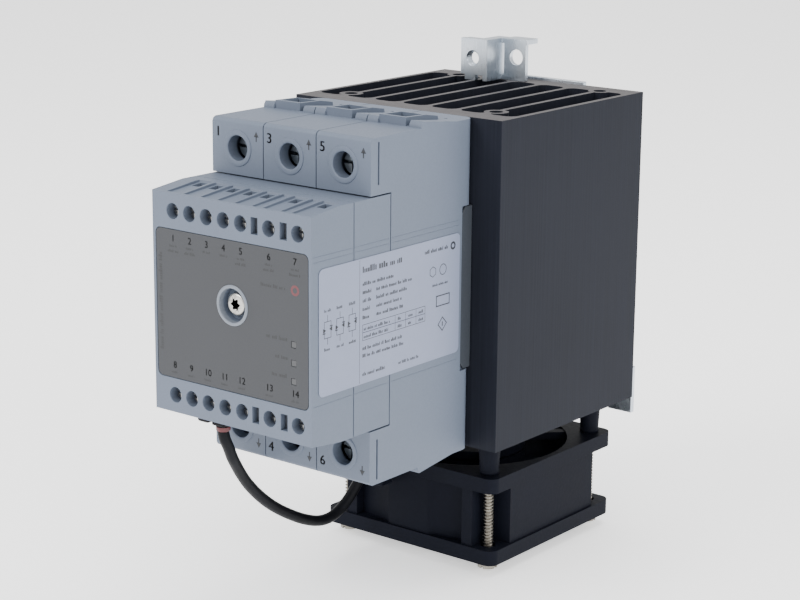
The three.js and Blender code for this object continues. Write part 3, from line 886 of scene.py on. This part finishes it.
class Assembly:
    """What all sub-assemblies share."""

    def fit(
        self,
        piece: bpy.types.Object,
        finish: Finish,
        slot: str,
        body: str = RELAY,
        stands_for: Sequence[str] = (),
    ) -> bpy.types.Object:
        """slot: the record's material slot; not used.
            body: the CAD body that it moves with.
            stands_for: CAD nodes that it replaces.

        Returns:
            The piece.
        """
        piece.data.materials.clear()
        piece.data.materials.append(finish.material())
        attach(piece, body)
        if stands_for:
            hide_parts(*stands_for)
        LOG.info("%s: %d faces on %s", piece.name, len(getattr(piece.data, "polygons", ())), body)
        return piece

    def refine(
        self,
        node: str,
        name: str,
        finish: Finish,
        slot: str,
        soft: float,
        segments: int = 2,
        body: str = RELAY,
        angle: float = 34.0,
    ) -> bpy.types.Object:
        """Replace a CAD node with a copy of it that has rounded edges.

        Args:
            node: the CAD node.
            name: the new piece's name.
            finish: its material.
            slot: the record's material slot.
            soft: the rounding's width.
            segments: faces across the rounding.
            body: the CAD body that it moves with.
            angle: the least angle of a rounded edge, in degrees.

        Returns:
            The new piece.
        """
        piece = Maker.of_node(node).soften(soft, segments, angle).done(name)
        return self.fit(piece, finish, slot, body, [node])

    def keep(self, node: str, finish: Finish) -> None:
        """Give a CAD node that stays in view its material."""
        mesh = bpy.data.objects[node].data
        mesh.materials.clear()
        mesh.materials.append(finish.material())
        LOG.info("%s: CAD node dressed", node)

    @staticmethod
    def span(node: str) -> tuple[Vector, Vector]:
        """A node's lowest and highest corners in millimetres."""
        low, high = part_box(node)
        return low / MM, high / MM

    def middle(self, node: str) -> Vector:
        """The middle of a node's box in millimetres."""
        low, high = self.span(node)
        return (low + high) / 2

    def screw(self, node: str, head: ScrewHead, thread: Thread, finish: Finish) -> None:
        """Replace a screw that faces the front and turns in a body of its own.

        Args:
            node: the CAD node.
            head: its head.
            thread: its threaded shank.
            finish: its material.
        """
        low, high = self.span(node)
        middle = self.middle(node)
        maker = Maker()
        head.add(maker, (middle.x, low.y, middle.z), FRONT)
        neck = low.y + head.length
        place = at((middle.x, neck - 0.02, middle.z)) @ turn_to(INWARD)
        thread.add(maker, high.y - neck, place)
        self.fit(maker.done(f"{node}_piece"), finish, "screw_steel", f"{node}_body", [node])


# ---- the object ---------------------------------------------------------------------------
POLES = (1, 2, 3)
ROWS = ("line", "load")
CONTROLS = (("upper", 1), ("lower", -1))
TERMINALS = range(1, 8)


@dataclass
class Heatsink(Assembly):
    """The finned extrusion."""

    edge: float = 0.22

    def build(self) -> None:
        """Make the heatsink with eased edges."""
        self.refine("heatsink", "heatsink_body", Finish.SINK, "anodised_black", self.edge, 2, angle=50.0)


@dataclass
class Poles(Assembly):
    """Three pole housings with ringed driver holes and printed numbers."""

    edge: float = 0.32
    hole: float = 3.4
    ring_outer: float = 4.75
    ring_rise: float = 0.24
    terminal: float = 37.5
    figure: float = 2.6
    arrow_x: float = 6.5
    figure_x: float = -6.8
    figure_z: float = 41.2
    stem_half: float = 0.2
    print_rise: float = 0.02
    clip_edge: float = 0.25

    def build(self) -> None:
        """Make the poles, their rings, their numbers and the clips at the rear corners."""
        for pole in POLES:
            self._housing(pole)
            self._numbers(pole)
            self.keep(f"power_module_{pole}", Finish.COPPER)
        for side in ("left", "right"):
            self.refine(f"side_clip_{side}", f"corner_clip_{side}", Finish.CLIP, "clip_grey", self.clip_edge)

    def _place(self, pole: int) -> tuple[float, float]:
        """A pole's centre line and front face."""
        return self.middle(f"line_clamp_{pole}").x, self.span(f"pole_housing_{pole}")[0].y

    def _housing(self, pole: int) -> None:
        """Make one housing with its two rings."""
        x, front = self._place(pole)
        maker = Maker.of_node(f"pole_housing_{pole}").soften(self.edge, 3, 50.0)
        inner, outer, rise = self.hole, self.ring_outer, self.ring_rise
        rim = [
            (outer, -0.1), (outer, rise * 0.5), (outer - 0.12, rise), (inner + 0.25, rise),
            (inner - 0.03, rise * 0.1), (inner - 0.03, -0.7), (inner + 0.2, -0.7),
            (inner + 0.2, -0.3), (outer - 0.2, -0.3), (outer, -0.1),
        ]
        for sign in (1, -1):
            maker.turned(rim, (x, front, sign * self.terminal), FRONT, 48)
        self.fit(
            maker.done(f"pole_body_{pole}"), Finish.HOUSING, "grey_plastic",
            stands_for=[f"pole_housing_{pole}"],
        )

    def _numbers(self, pole: int) -> None:
        """Print a number and an arrow beside each of a pole's two terminals."""
        middle, front = self._place(pole)
        marks = Print((middle, front - self.print_rise, 0), ALONG, UP)
        left, right = self.arrow_x - self.stem_half, self.arrow_x + self.stem_half
        for sign, digit in ((1, 2 * pole - 1), (-1, 2 * pole)):
            level = sign * self.figure_z
            marks.figures(str(digit), (self.figure_x, level), self.figure)
            marks.arrowhead((self.arrow_x, level + sign * 0.35), 1.0, 0.0 if sign > 0 else math.pi)
            marks.bar(left, right, *sorted((level - sign * 1.35, level + sign * 0.1)))
        self.fit(marks.done(f"pole_numbers_{pole}"), Finish.INK, "grey_plastic")


@dataclass
class PowerTerminals(Assembly):
    """Six clamping screws and the cages they draw up."""

    head: ScrewHead = ScrewHead(2.95, 2.9, Drive.CROSS, slot=0.85, depth=1.3, soft=0.25)
    thread: Thread = Thread(
        1.75, 0.8, ((1.7, 0), (2.0, 0.336), (2.0, 0.44), (1.7, 0.784)), start=0.6, spare=1.5, sides=24
    )
    cage_edge: float = 0.25

    def build(self) -> None:
        """Make each screw with its thread, and each cage."""
        for row in ROWS:
            for pole in POLES:
                self.screw(f"{row}_screw_{pole}", self.head, self.thread, Finish.DARK_STEEL)
                cage = f"{row}_clamp_{pole}"
                self.refine(
                    cage, f"{row}_cage_{pole}", Finish.ZINC, "zinc", self.cage_edge, body=f"{cage}_body"
                )


@dataclass
class ControlModule(Assembly):
    """The clip-on module: two shells, the face film, its print, lamps and keys."""

    edge: float = 0.28
    film_edge: float = 0.06
    film_figure: float = 1.75
    film_rise: float = 0.012
    figure_z: tuple[float, float] = (17.1, -16.2)
    ring_outer: float = 5.25
    ring_inner: float = 4.35
    ring_rise: float = 0.28
    key_x: tuple[float, float] = (8.2, 17.7)
    key_half: tuple[float, float] = (1.1, 2.1)
    key_sink: float = 1.7
    key_end: float = 4.6
    control_z: float = 24.2
    lamp: float = 0.78
    lamp_z: tuple[float, ...] = (-3.7, -8.4, -13.1)
    ridge: float = 0.09
    ridge_z: tuple[float, ...] = (17.4, 18.7, -18.9)
    ridge_end: float = 58.8

    def build(self) -> None:
        """Make the module."""
        for shell in ("front", "rear"):
            self.refine(
                f"controller_{shell}", f"module_{shell}", Finish.HOUSING, "grey_plastic",
                self.edge, 3, angle=50,
            )
        self.refine("controller_face", "face_film", Finish.FACE, "face_grey", self.film_edge, angle=50)
        self.keep("controller_board", Finish.BOARD)
        self._ring()
        self._keys()
        self._ridges()
        self._lamps()
        self._film_print()

    def _ring(self) -> None:
        """The light rim round the fixing screw's recess."""
        screw = self.middle("module_screw")
        front = self.span("controller_front")[0].y
        inner, outer, rise = self.ring_inner, self.ring_outer, self.ring_rise
        profile = [
            (outer, -0.5), (outer, rise * 0.4), (outer - 0.25, rise), (inner + 0.15, rise),
            (inner, rise * 0.4), (inner, -1.4), (inner + 0.3, -1.4), (outer, -0.5),
        ]
        rim = Maker().turned(profile, (screw.x, front + 0.1, screw.z), FRONT, 56)
        self.fit(rim.done("recess_rim"), Finish.RING, "grey_plastic")

    def _keys(self) -> None:
        """The coding keys that close the narrow slots."""
        front = self.span("controller_front")[0].y
        keys = Maker()
        half_x, half_z = self.key_half
        for _, sign in CONTROLS:
            for x in self.key_x:
                z = sign * self.control_z
                keys.block(
                    (x - half_x, front + self.key_sink, z - half_z),
                    (x + half_x, front + self.key_end, z + half_z), 0.15,
                )
        # the keys' dark grey is partly painted shade of the slots round them
        self.fit(keys.done("coding_keys"), Finish.POCKET, "grey_plastic")

    def _ridges(self) -> None:
        """Fine raised lines above and below the side label."""
        low, high = self.span("controller_front")
        back = self.span("controller_rear")[1].y
        lines = Maker()
        half = self.ridge
        runs = (
            (low.y + 0.8, high.y - 0.3), (high.y + 0.6, back - 0.5), (back + 0.9, low.y + self.ridge_end),
        )
        for side in (low.x, high.x):
            for z in self.ridge_z:
                for start, end in runs:
                    lines.block((side - half, start, z - half), (side + half, end, z + half), 0.05)
        self.fit(lines.done("side_ridges"), Finish.HOUSING, "grey_plastic")

    def _lamps(self) -> None:
        """Square lamp windows on the light pipe."""
        x, front = self.middle("light_pipe").x, self.span("light_pipe")[0].y
        maker = Maker.of_node("light_pipe")
        half = self.lamp
        for z in self.lamp_z:
            maker.block((x - half, front - 0.16, z - half), (x + half, front + 0.4, z + half), 0.1)
        self.fit(maker.done("lamp_windows"), Finish.LAMP, "clear_plastic", stands_for=["light_pipe"])

    def _film_print(self) -> None:
        """Terminal numbers, and strokes that stand for the other print."""
        film = self.span("controller_face")[0].y - self.film_rise
        marks = Print((0, film, 0), ALONG, UP)
        for (row, sign), level, first in zip(CONTROLS, self.figure_z, (1, 8)):
            for number in TERMINALS:
                x = self.middle(f"{row}_screw_{number}").x
                if number == 7:
                    x -= 0.9  # keeps the last figure clear of the film's edge
                marks.figures(str(first + number - 1), (x, level), self.film_figure)
                marks.words(x - 1.3, x + 1.3, level - 2.2, 0.6)
                if sign > 0 and number not in (3, 4):
                    marks.words(x - 1.9, x + 1.9, level - 3.6, 0.75)
        for lamp, wide in zip(self.lamp_z, (7.0, 4.0, 5.2)):
            marks.words(18.9 - wide, 18.9, lamp + 0.5, 1.1)
        marks.words(10.2, 18.6, 9.6, 0.95)
        self.fit(marks.done("film_print"), Finish.FAINT_INK, "face_grey")
        spine = Print((-23.6, film, -12.6), UP, (-1, 0, 0))
        spine.words(0, 25.6, 0, 1.25)
        self.fit(spine.done("film_spine_print"), Finish.FAINT_INK, "face_grey")
        badge = Print((21.4, film, 10.0), ALONG, UP)
        badge.ring((0, 0), 1.35, 0.7)
        self.fit(badge.done("film_badge"), Finish.BADGE, "face_grey")


@dataclass
class ModuleScrews(Assembly):
    """The module's fixing screw and its fourteen terminal screws."""

    fixing: ScrewHead = ScrewHead(2.95, 2.0, Drive.STAR, depth=0.75)
    fixing_radius: float = 1.5
    terminal: ScrewHead = ScrewHead(1.75, 1.6, Drive.CROSS, slot=0.55, depth=0.75, soft=0.15)
    terminal_radius: float = 1.2

    def build(self) -> None:
        """Make every screw."""
        self.screw("module_screw", self.fixing, self._thread(self.fixing_radius), Finish.PALE_STEEL)
        thread = self._thread(self.terminal_radius)
        for row, _ in CONTROLS:
            for number in TERMINALS:
                self.screw(f"{row}_screw_{number}", self.terminal, thread, Finish.STEEL)

    @staticmethod
    def _thread(radius: float) -> Thread:
        """A fine thread with the given outer radius."""
        root = radius - 0.25
        tooth = ((root, 0), (radius, 0.25), (radius, 0.3), (root, 0.55))
        return Thread(radius - 0.2, 0.6, tooth, start=0.4, spare=1.5, steps=12)


@dataclass
class RatingLabel(Assembly):
    """The side label with plain symbols and rows that stand for its print."""

    rise: float = 0.012
    divider: float = 15.4
    line: float = 0.16
    letter: float = 0.95
    row_pitch: float = 2.15
    row_ends: tuple[float, ...] = (12.5, 20.0, 18.5, 16.0, 17.0)
    table_row: float = 2.0
    table_wide: float = 25.5
    column: float = 4.3

    def build(self) -> None:
        """Make the label and its print. The print's origin is the label's lower front corner."""
        self.refine("rating_label", "side_label", Finish.LABEL, "label_white", 0.03, angle=50)
        low, high = self.span("rating_label")
        wide, tall = high.y - low.y, high.z - low.z
        marks = Print((high.x + self.rise, low.y, low.z), INWARD, UP)
        marks.bar(self.divider, self.divider + 0.12, 0.3, tall - 0.3)
        for index in range(3):
            self._symbol(marks, 3.2 + index * 4.7, tall * 0.52)
        left = self.divider + 1.2
        self._rows(marks, left, tall)
        self._table(marks, left, tall * 0.47)
        self._footer(marks, left, tall)
        self._outlines(marks, wide, tall)
        self.fit(marks.done("label_print"), Finish.INK, "label_white")

    def _symbol(self, marks: Print, x: float, y: float) -> None:
        """A plain switch symbol: a box with two opposed arrowheads and a lead at each end."""
        half_x, half_y, line = 1.35, 2.15, self.line
        marks.frame(x - half_x, x + half_x, y - half_y, y + half_y, line)
        for sign in (-1, 1):
            side = x + sign * half_x
            lead = sorted((y + sign * half_y, y + sign * (half_y + 1.6)))
            marks.bar(x - line / 2, x + line / 2, *lead)
            marks.arrowhead((side, y + 0.1 * sign), 0.75, sign * math.pi / 2)
            marks.bar(side - 0.55, side + 0.55, y + sign * 0.7, y + sign * 0.95)
            marks.words(x - 1.3, x + 1.4, y + sign * 4.9 - 0.4, 0.8)

    def _rows(self, marks: Print, left: float, tall: float) -> None:
        """A heading and rows of data under it."""
        marks.words(left, left + 16, tall - 3.7, 1.6)
        for row, end in enumerate(self.row_ends):
            level = tall - 7.0 - row * self.row_pitch
            marks.words(left, left + (end if row == 0 else 3.4), level, self.letter)
            if row:
                marks.words(left + 5.4, left + end, level, self.letter)

    def _table(self, marks: Print, left: float, top: float) -> None:
        """A small table of two rows, with three narrow columns at its right."""
        for row in range(2):
            high = top - self.table_row * row
            low = high - self.table_row
            marks.frame(left, left + self.table_wide, low, high + 0.13, 0.13)
            marks.words(left + 0.5, left + 11, low + 0.55, 0.85)
            for column in range(3):
                x = left + 13 + self.column * column
                marks.bar(x, x + 0.12, low, high)
                marks.words(x + 1.1, x + 3.0, low + 0.55, 0.85)

    def _footer(self, marks: Print, left: float, tall: float) -> None:
        """Two rows under the table and the line at the label's foot."""
        for row in range(2):
            marks.words(left, left + 16.5, tall * 0.27 - row * 1.9, 0.9)
        marks.words(left, left + 9.5, 2.0, 1.0)
        marks.words(left + 14.5, left + 23.0, 2.0, 0.8)

    def _outlines(self, marks: Print, wide: float, tall: float) -> None:
        """Plain outlines down the label's right side."""
        marks.words(wide - 15.0, wide - 5.2, tall - 3.4, 1.05)
        marks.ring((wide - 3.0, tall - 3.0), 1.1, 0.55)
        right = wide - 7.2
        marks.ring((right, tall - 8.6), 1.5, 1.28)
        marks.ring((right - 4.3, tall - 8.6), 1.5, 1.28, 6)
        marks.words(right - 4.4, right + 2.2, tall - 12.6, 0.7)
        marks.frame(right - 2.8, right + 3.0, tall * 0.47 - 1.2, tall * 0.47 + 1.8, 0.3)
        marks.ring((right, tall * 0.28), 2.0, 1.6, 4)
        marks.bar(right - 0.2, right + 0.2, tall * 0.28 - 0.6, tall * 0.28 + 0.6)


@dataclass
class Fan(Assembly):
    """The axial fan with its rotor, stator, long screws and tapered spacers."""

    corners: tuple[int, ...] = (1, 2, 3, 4)
    head: ScrewHead = ScrewHead(2.8, 2.0, Drive.CROSS, 0.7, 0.8, 0.3)
    core: float = 1.02
    crest: float = 1.5
    pitch: float = 0.95

    def build(self) -> None:
        """Make the fan."""
        self.refine("fan_frame", "fan_housing", Finish.BLACK, "black_plastic", 0.3, 3, angle=45)
        self.refine(
            "fan_rotor", "fan_impeller_piece", Finish.BLACK, "black_plastic",
            0.22, body="fan_impeller", angle=40,
        )
        self.keep("fan_stator", Finish.WINDING)
        for corner in self.corners:
            self._screw(corner)
            self._spacer(corner)

    def _screw(self, corner: int) -> None:
        """One long screw with a real thread and a pan head below the fan."""
        node = f"fan_screw_{corner}"
        low, high = self.span(node)
        x, y, _ = self.middle(node)
        maker = Maker()
        self.head.add(maker, (x, y, low.z), DOWN)
        start = low.z + self.head.length - 0.05
        run = high.z - start
        core = [(0, 0), (self.core, 0), (self.core, run - 1), (self.core * 0.6, run), (0, run)]
        maker.turned(core, (x, y, start), UP, 20)
        tooth = [
            (self.core - 0.04, 0), (self.crest, self.pitch * 0.4),
            (self.crest, self.pitch * 0.52), (self.core - 0.04, self.pitch * 0.92),
        ]
        turns = math.floor((run - 2) / self.pitch)
        maker.helix(tooth, self.pitch, turns, (x, y, start + 0.4))
        self.fit(maker.done(f"{node}_piece"), Finish.THREAD, "screw_steel", stands_for=[node])

    def _spacer(self, corner: int) -> None:
        """One tapered spacer with a small collar at its foot."""
        node = f"fan_spacer_{corner}"
        low, high = self.span(node)
        x, y, _ = self.middle(node)
        run = high.z - low.z
        profile = [
            (1.75, 0.3), (2.05, 0), (2.65, 0), (2.8, 0.15), (2.82, 1.1), (2.7, 1.25), (3.2, run - 0.3),
            (3.05, run), (2.05, run), (1.75, run - 0.3), (1.75, 0.3),
        ]
        maker = Maker().turned(profile, (x, y, low.z), UP, 40)
        self.fit(maker.done(f"{node}_piece"), Finish.BLACK, "black_plastic", stands_for=[node])


@dataclass
class FanLead(Assembly):
    """The short lead from the module's underside to the fan."""

    radius: float = 1.55
    route: tuple[tuple[float, float, float], ...] = (
        (-9.7, 7.2, -32.7), (-9.7, 7.2, -34.0), (-9.8, 7.9, -36.2), (-10.2, 9.6, -38.9),
        (-11.2, 12.0, -42.4), (-12.6, 15.2, -46.0), (-14.0, 18.6, -49.6), (-15.4, 23.0, -54.0),
        (-16.4, 28.6, -59.0), (-16.9, 34.6, -63.6), (-17.0, 41.0, -67.6), (-17.0, 47.6, -71.0),
        (-16.8, 53.4, -73.0), (-16.6, 58.4, -73.2), (-16.3, 62.6, -71.6), (-15.7, 65.8, -68.8),
        (-14.6, 68.0, -65.0), (-13.0, 69.0, -61.6), (-11.2, 69.2, -59.6), (-9.5, 69.2, -59.2),
    )
    steps: int = 7

    def build(self) -> None:
        """Make the lead, its boots and the grommet where it goes into the fan."""
        front = self.span("controller_front")[0].y
        points = [Vector((x, front + back, z)) * MM for x, back, z in self.route]
        line = self._smooth(points)
        lead = self._tube(line)
        self.fit(lead, Finish.SHEATH, "cable_black", stands_for=["fan_cable"])
        length = sum((b - a).length for a, b in zip(line, line[1:]))
        core = self._core(points[0] / MM)
        self._boots()
        self.refine("cable_grommet", "lead_grommet", Finish.BLACK, "black_plastic", 0.45, 3)

    def _smooth(self, points: Sequence[Vector]) -> list[Vector]:
        """Points on a smooth line through the route's points."""
        ends = [2 * points[0] - points[1], *points, 2 * points[-1] - points[-2]]
        line = []
        for before, start, end, after in zip(ends, ends[1:], ends[2:], ends[3:]):
            for step in range(self.steps):
                t = step / self.steps
                line.append(
                    0.5 * (2 * start + (end - before) * t
                           + (2 * before - 5 * start + 4 * end - after) * t ** 2
                           + (3 * start - before - 3 * end + after) * t ** 3)
                )
        return [*line, points[-1]]

    def _tube(self, line: Sequence[Vector]) -> bpy.types.Object:
        """A round curve along a line."""
        curve = bpy.data.curves.new("fan_lead", "CURVE")
        curve.dimensions = "3D"
        curve.bevel_depth = self.radius * MM
        curve.bevel_resolution = 6
        curve.use_fill_caps = True
        spline = curve.splines.new("POLY")
        spline.points.add(len(line) - 1)
        for place, point in zip(spline.points, line):
            place.co = (*point, 1.0)
        spline.use_smooth = True
        lead = bpy.data.objects.new("fan_lead", curve)
        bpy.context.scene.collection.objects.link(lead)
        return lead

    def _core(self, top: Vector) -> bpy.types.Object:
        """The red inner sleeve that shows where the sheath ends."""
        profile = [(1.58, -0.9), (1.9, -0.6), (1.95, 0.35), (1.58, 0.4), (1.58, -0.9)]
        sleeve = Maker().turned(profile, top, UP, 32)
        return self.fit(sleeve.done("lead_sleeve"), Finish.RED, "cable_black")

    def _boots(self) -> None:
        """Two rounded boots under the module, one round the lead."""
        low, high = self.span("fan_plug")
        x, y, _ = self.middle("fan_plug")
        boots = Maker()
        boots.block((low.x, low.y, low.z + 0.3), high, 0.55)
        collar = [(0, 0), (2.05, 0), (2.1, -1.2), (1.75, -1.9), (0, -1.95)]
        boots.turned(collar, (x, y, high.z), UP, 32)
        boots.block((low.x - 5.6, low.y + 0.5, low.z + 0.2), (low.x - 1.6, high.y - 0.2, high.z), 0.7)
        self.fit(boots.done("lead_boots"), Finish.SHEATH, "cable_black", stands_for=["fan_plug"])


@dataclass
class Hardware(Assembly):
    """Mounting plate, sprung rail latch and the folded bracket."""

    edge: float = 0.2
    wire: float = 0.27
    coil: float = 1.35
    turns: int = 8
    tab_hole: tuple[float, float] = (-14.7, 51.5)
    collar_ridges: int = 4
    collar_pitch: float = 0.62
    spring_foot: float = -39.7

    def build(self) -> None:
        """Make the plated parts and the spring."""
        self.refine("mounting_plate", "rear_plate", Finish.ZINC, "zinc", self.edge)
        self.refine("mounting_latch", "rail_latch_piece", Finish.ZINC, "zinc", self.edge, body="rail_latch")
        self._bracket()
        self._spring()

    def _bracket(self) -> None:
        """The folded bracket, with a ridged collar in its tab's hole."""
        low, _ = self.span("earth_bracket")
        maker = Maker.of_node("earth_bracket").soften(0.28, 2, 40.0)
        x, z = self.tab_hole
        collar = [(2.3, 0.05)]
        for ridge in range(self.collar_ridges):
            base = 0.1 + ridge * self.collar_pitch
            collar += [(2.27, base), (1.92, base + 0.28), (1.92, base + 0.36), (2.27, base + 0.6)]
        end = 0.2 + self.collar_ridges * self.collar_pitch
        collar += [(2.4, end), (3.0, end), (3.1, end - 0.2), (3.1, 1.3), (2.45, 0.05), (2.3, 0.05)]
        maker.turned(collar, (x, low.y, z), INWARD, 36)
        self.fit(maker.done("bracket_body"), Finish.ZINC, "zinc", stands_for=["earth_bracket"])

    def _spring(self) -> None:
        """The latch's coil spring."""
        low, high = self.span("latch_spring")
        x, y, _ = self.middle("latch_spring")
        run = high.z - low.z - 2 * self.wire
        section = [
            (self.coil + self.wire * math.cos(a), self.wire * math.sin(a))
            for a in (step * math.pi / 4 for step in range(9))
        ]
        maker = Maker().helix(section, run / self.turns, self.turns, (x, y, low.z + self.wire), 20)
        spring = maker.done("latch_coil")
        self.fit(spring, Finish.STEEL, "spring_steel", stands_for=["latch_spring"])
        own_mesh(spring)


@dataclass(frozen=True)
class Lamp:
    """A square area light: its place and size in millimetres, and its power in watts."""

    name: str
    place: tuple[float, float, float]
    size: float
    power: float


@dataclass
class Studio:
    """Floor, lights and the camera."""

    target: tuple[float, float, float] = (6.498, -75.8, -6.234)
    azimuth: float = 38.319
    elevation: float = 14.136
    roll: float = 0.494
    distance: float = 567.58
    lens: float = 94.49
    floor_z: float = -84.6
    floor_half: float = 6000.0
    floor_glow: float = 0.8
    world_glow: float = 1.25
    lamps: tuple[Lamp, ...] = (
        Lamp("key", (-350, -950, 750), 550, 10.5),
        Lamp("side", (950, -350, 350), 600, 4.6),
        Lamp("top", (100, 100, 1000), 700, 7.0),
    )

    def build(self) -> None:
        """Set up the studio."""
        self._floor()
        self._world()
        for lamp in self.lamps:
            self._light(lamp)
        self._camera()

    def _floor(self) -> None:
        """A wide pale floor."""
        maker = Maker()
        bmesh.ops.create_grid(maker.bm, x_segments=1, y_segments=1, size=self.floor_half * MM)
        bmesh.ops.translate(maker.bm, vec=(0, 0, self.floor_z * MM), verts=maker.bm.verts)
        floor = maker.done("floor")
        tree = ShaderTree("floor_paper")
        grain = tree.noise(tree.place(), 40.0)
        floor.data.materials.append(
            tree.dress(
                Base_Color=tree.mix(grain, (0.94, 0.94, 0.94), (0.96, 0.96, 0.96)),
                Roughness=0.9,
                Emission_Color=(1.0, 1.0, 1.0),
                Emission_Strength=self.floor_glow,
            )
        )
        floor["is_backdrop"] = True

    def _world(self) -> None:
        """Even white surroundings."""
        world = bpy.data.worlds.new("studio")
        world.use_nodes = True
        background = world.node_tree.nodes["Background"]
        background.inputs["Color"].default_value = (1.0, 1.0, 1.0, 1.0)
        background.inputs["Strength"].default_value = self.world_glow
        bpy.context.scene.world = world

    def _light(self, lamp: Lamp) -> None:
        """Make a lamp that faces the target."""
        data = bpy.data.lights.new(lamp.name, "AREA")
        data.shape = "SQUARE"
        data.size = lamp.size * MM
        data.energy = lamp.power
        away = Vector(lamp.place) - Vector(self.target)
        self._stand(bpy.data.objects.new(lamp.name, data), lamp.place, away.to_track_quat("Z", "Y"))

    @staticmethod
    def _stand(thing: bpy.types.Object, place: Sequence[float], turn: Quaternion) -> None:
        """Put a lamp or the camera at a place in millimetres."""
        thing.location = Vector(place) * MM
        thing.rotation_mode = "QUATERNION"
        thing.rotation_quaternion = turn
        bpy.context.scene.collection.objects.link(thing)

    def _camera(self) -> None:
        """The camera, at its place and with its lens."""
        a, e = math.radians(self.azimuth), math.radians(self.elevation)
        back = Vector((math.sin(a) * math.cos(e), -math.cos(a) * math.cos(e), math.sin(e)))
        data = bpy.data.cameras.new("camera")
        data.sensor_width = 36.0
        data.lens = self.lens
        data.clip_start = 0.01
        camera = bpy.data.objects.new("camera", data)
        tilt = Quaternion(UP, math.radians(self.roll))
        place = Vector(self.target) + back * self.distance
        self._stand(camera, place, back.to_track_quat("Z", "Y") @ tilt)
        bpy.context.scene.camera = camera


def corners() -> list[list[float]]:
    """The shown object's lowest and highest corners as plain lists."""
    return [[float(value) for value in corner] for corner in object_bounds()]


def main() -> None:
    """Build the scene in order."""
    logging.basicConfig(level=logging.INFO, format="%(name)s: %(message)s")
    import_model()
    for part in (
        Heatsink(), Poles(), PowerTerminals(), ControlModule(), ModuleScrews(), RatingLabel(),
        Fan(), FanLead(), Hardware(), Studio(),
    ):
        part.build()
        LOG.info("%s built", type(part).__name__)


if __name__ == "__main__":
    main()
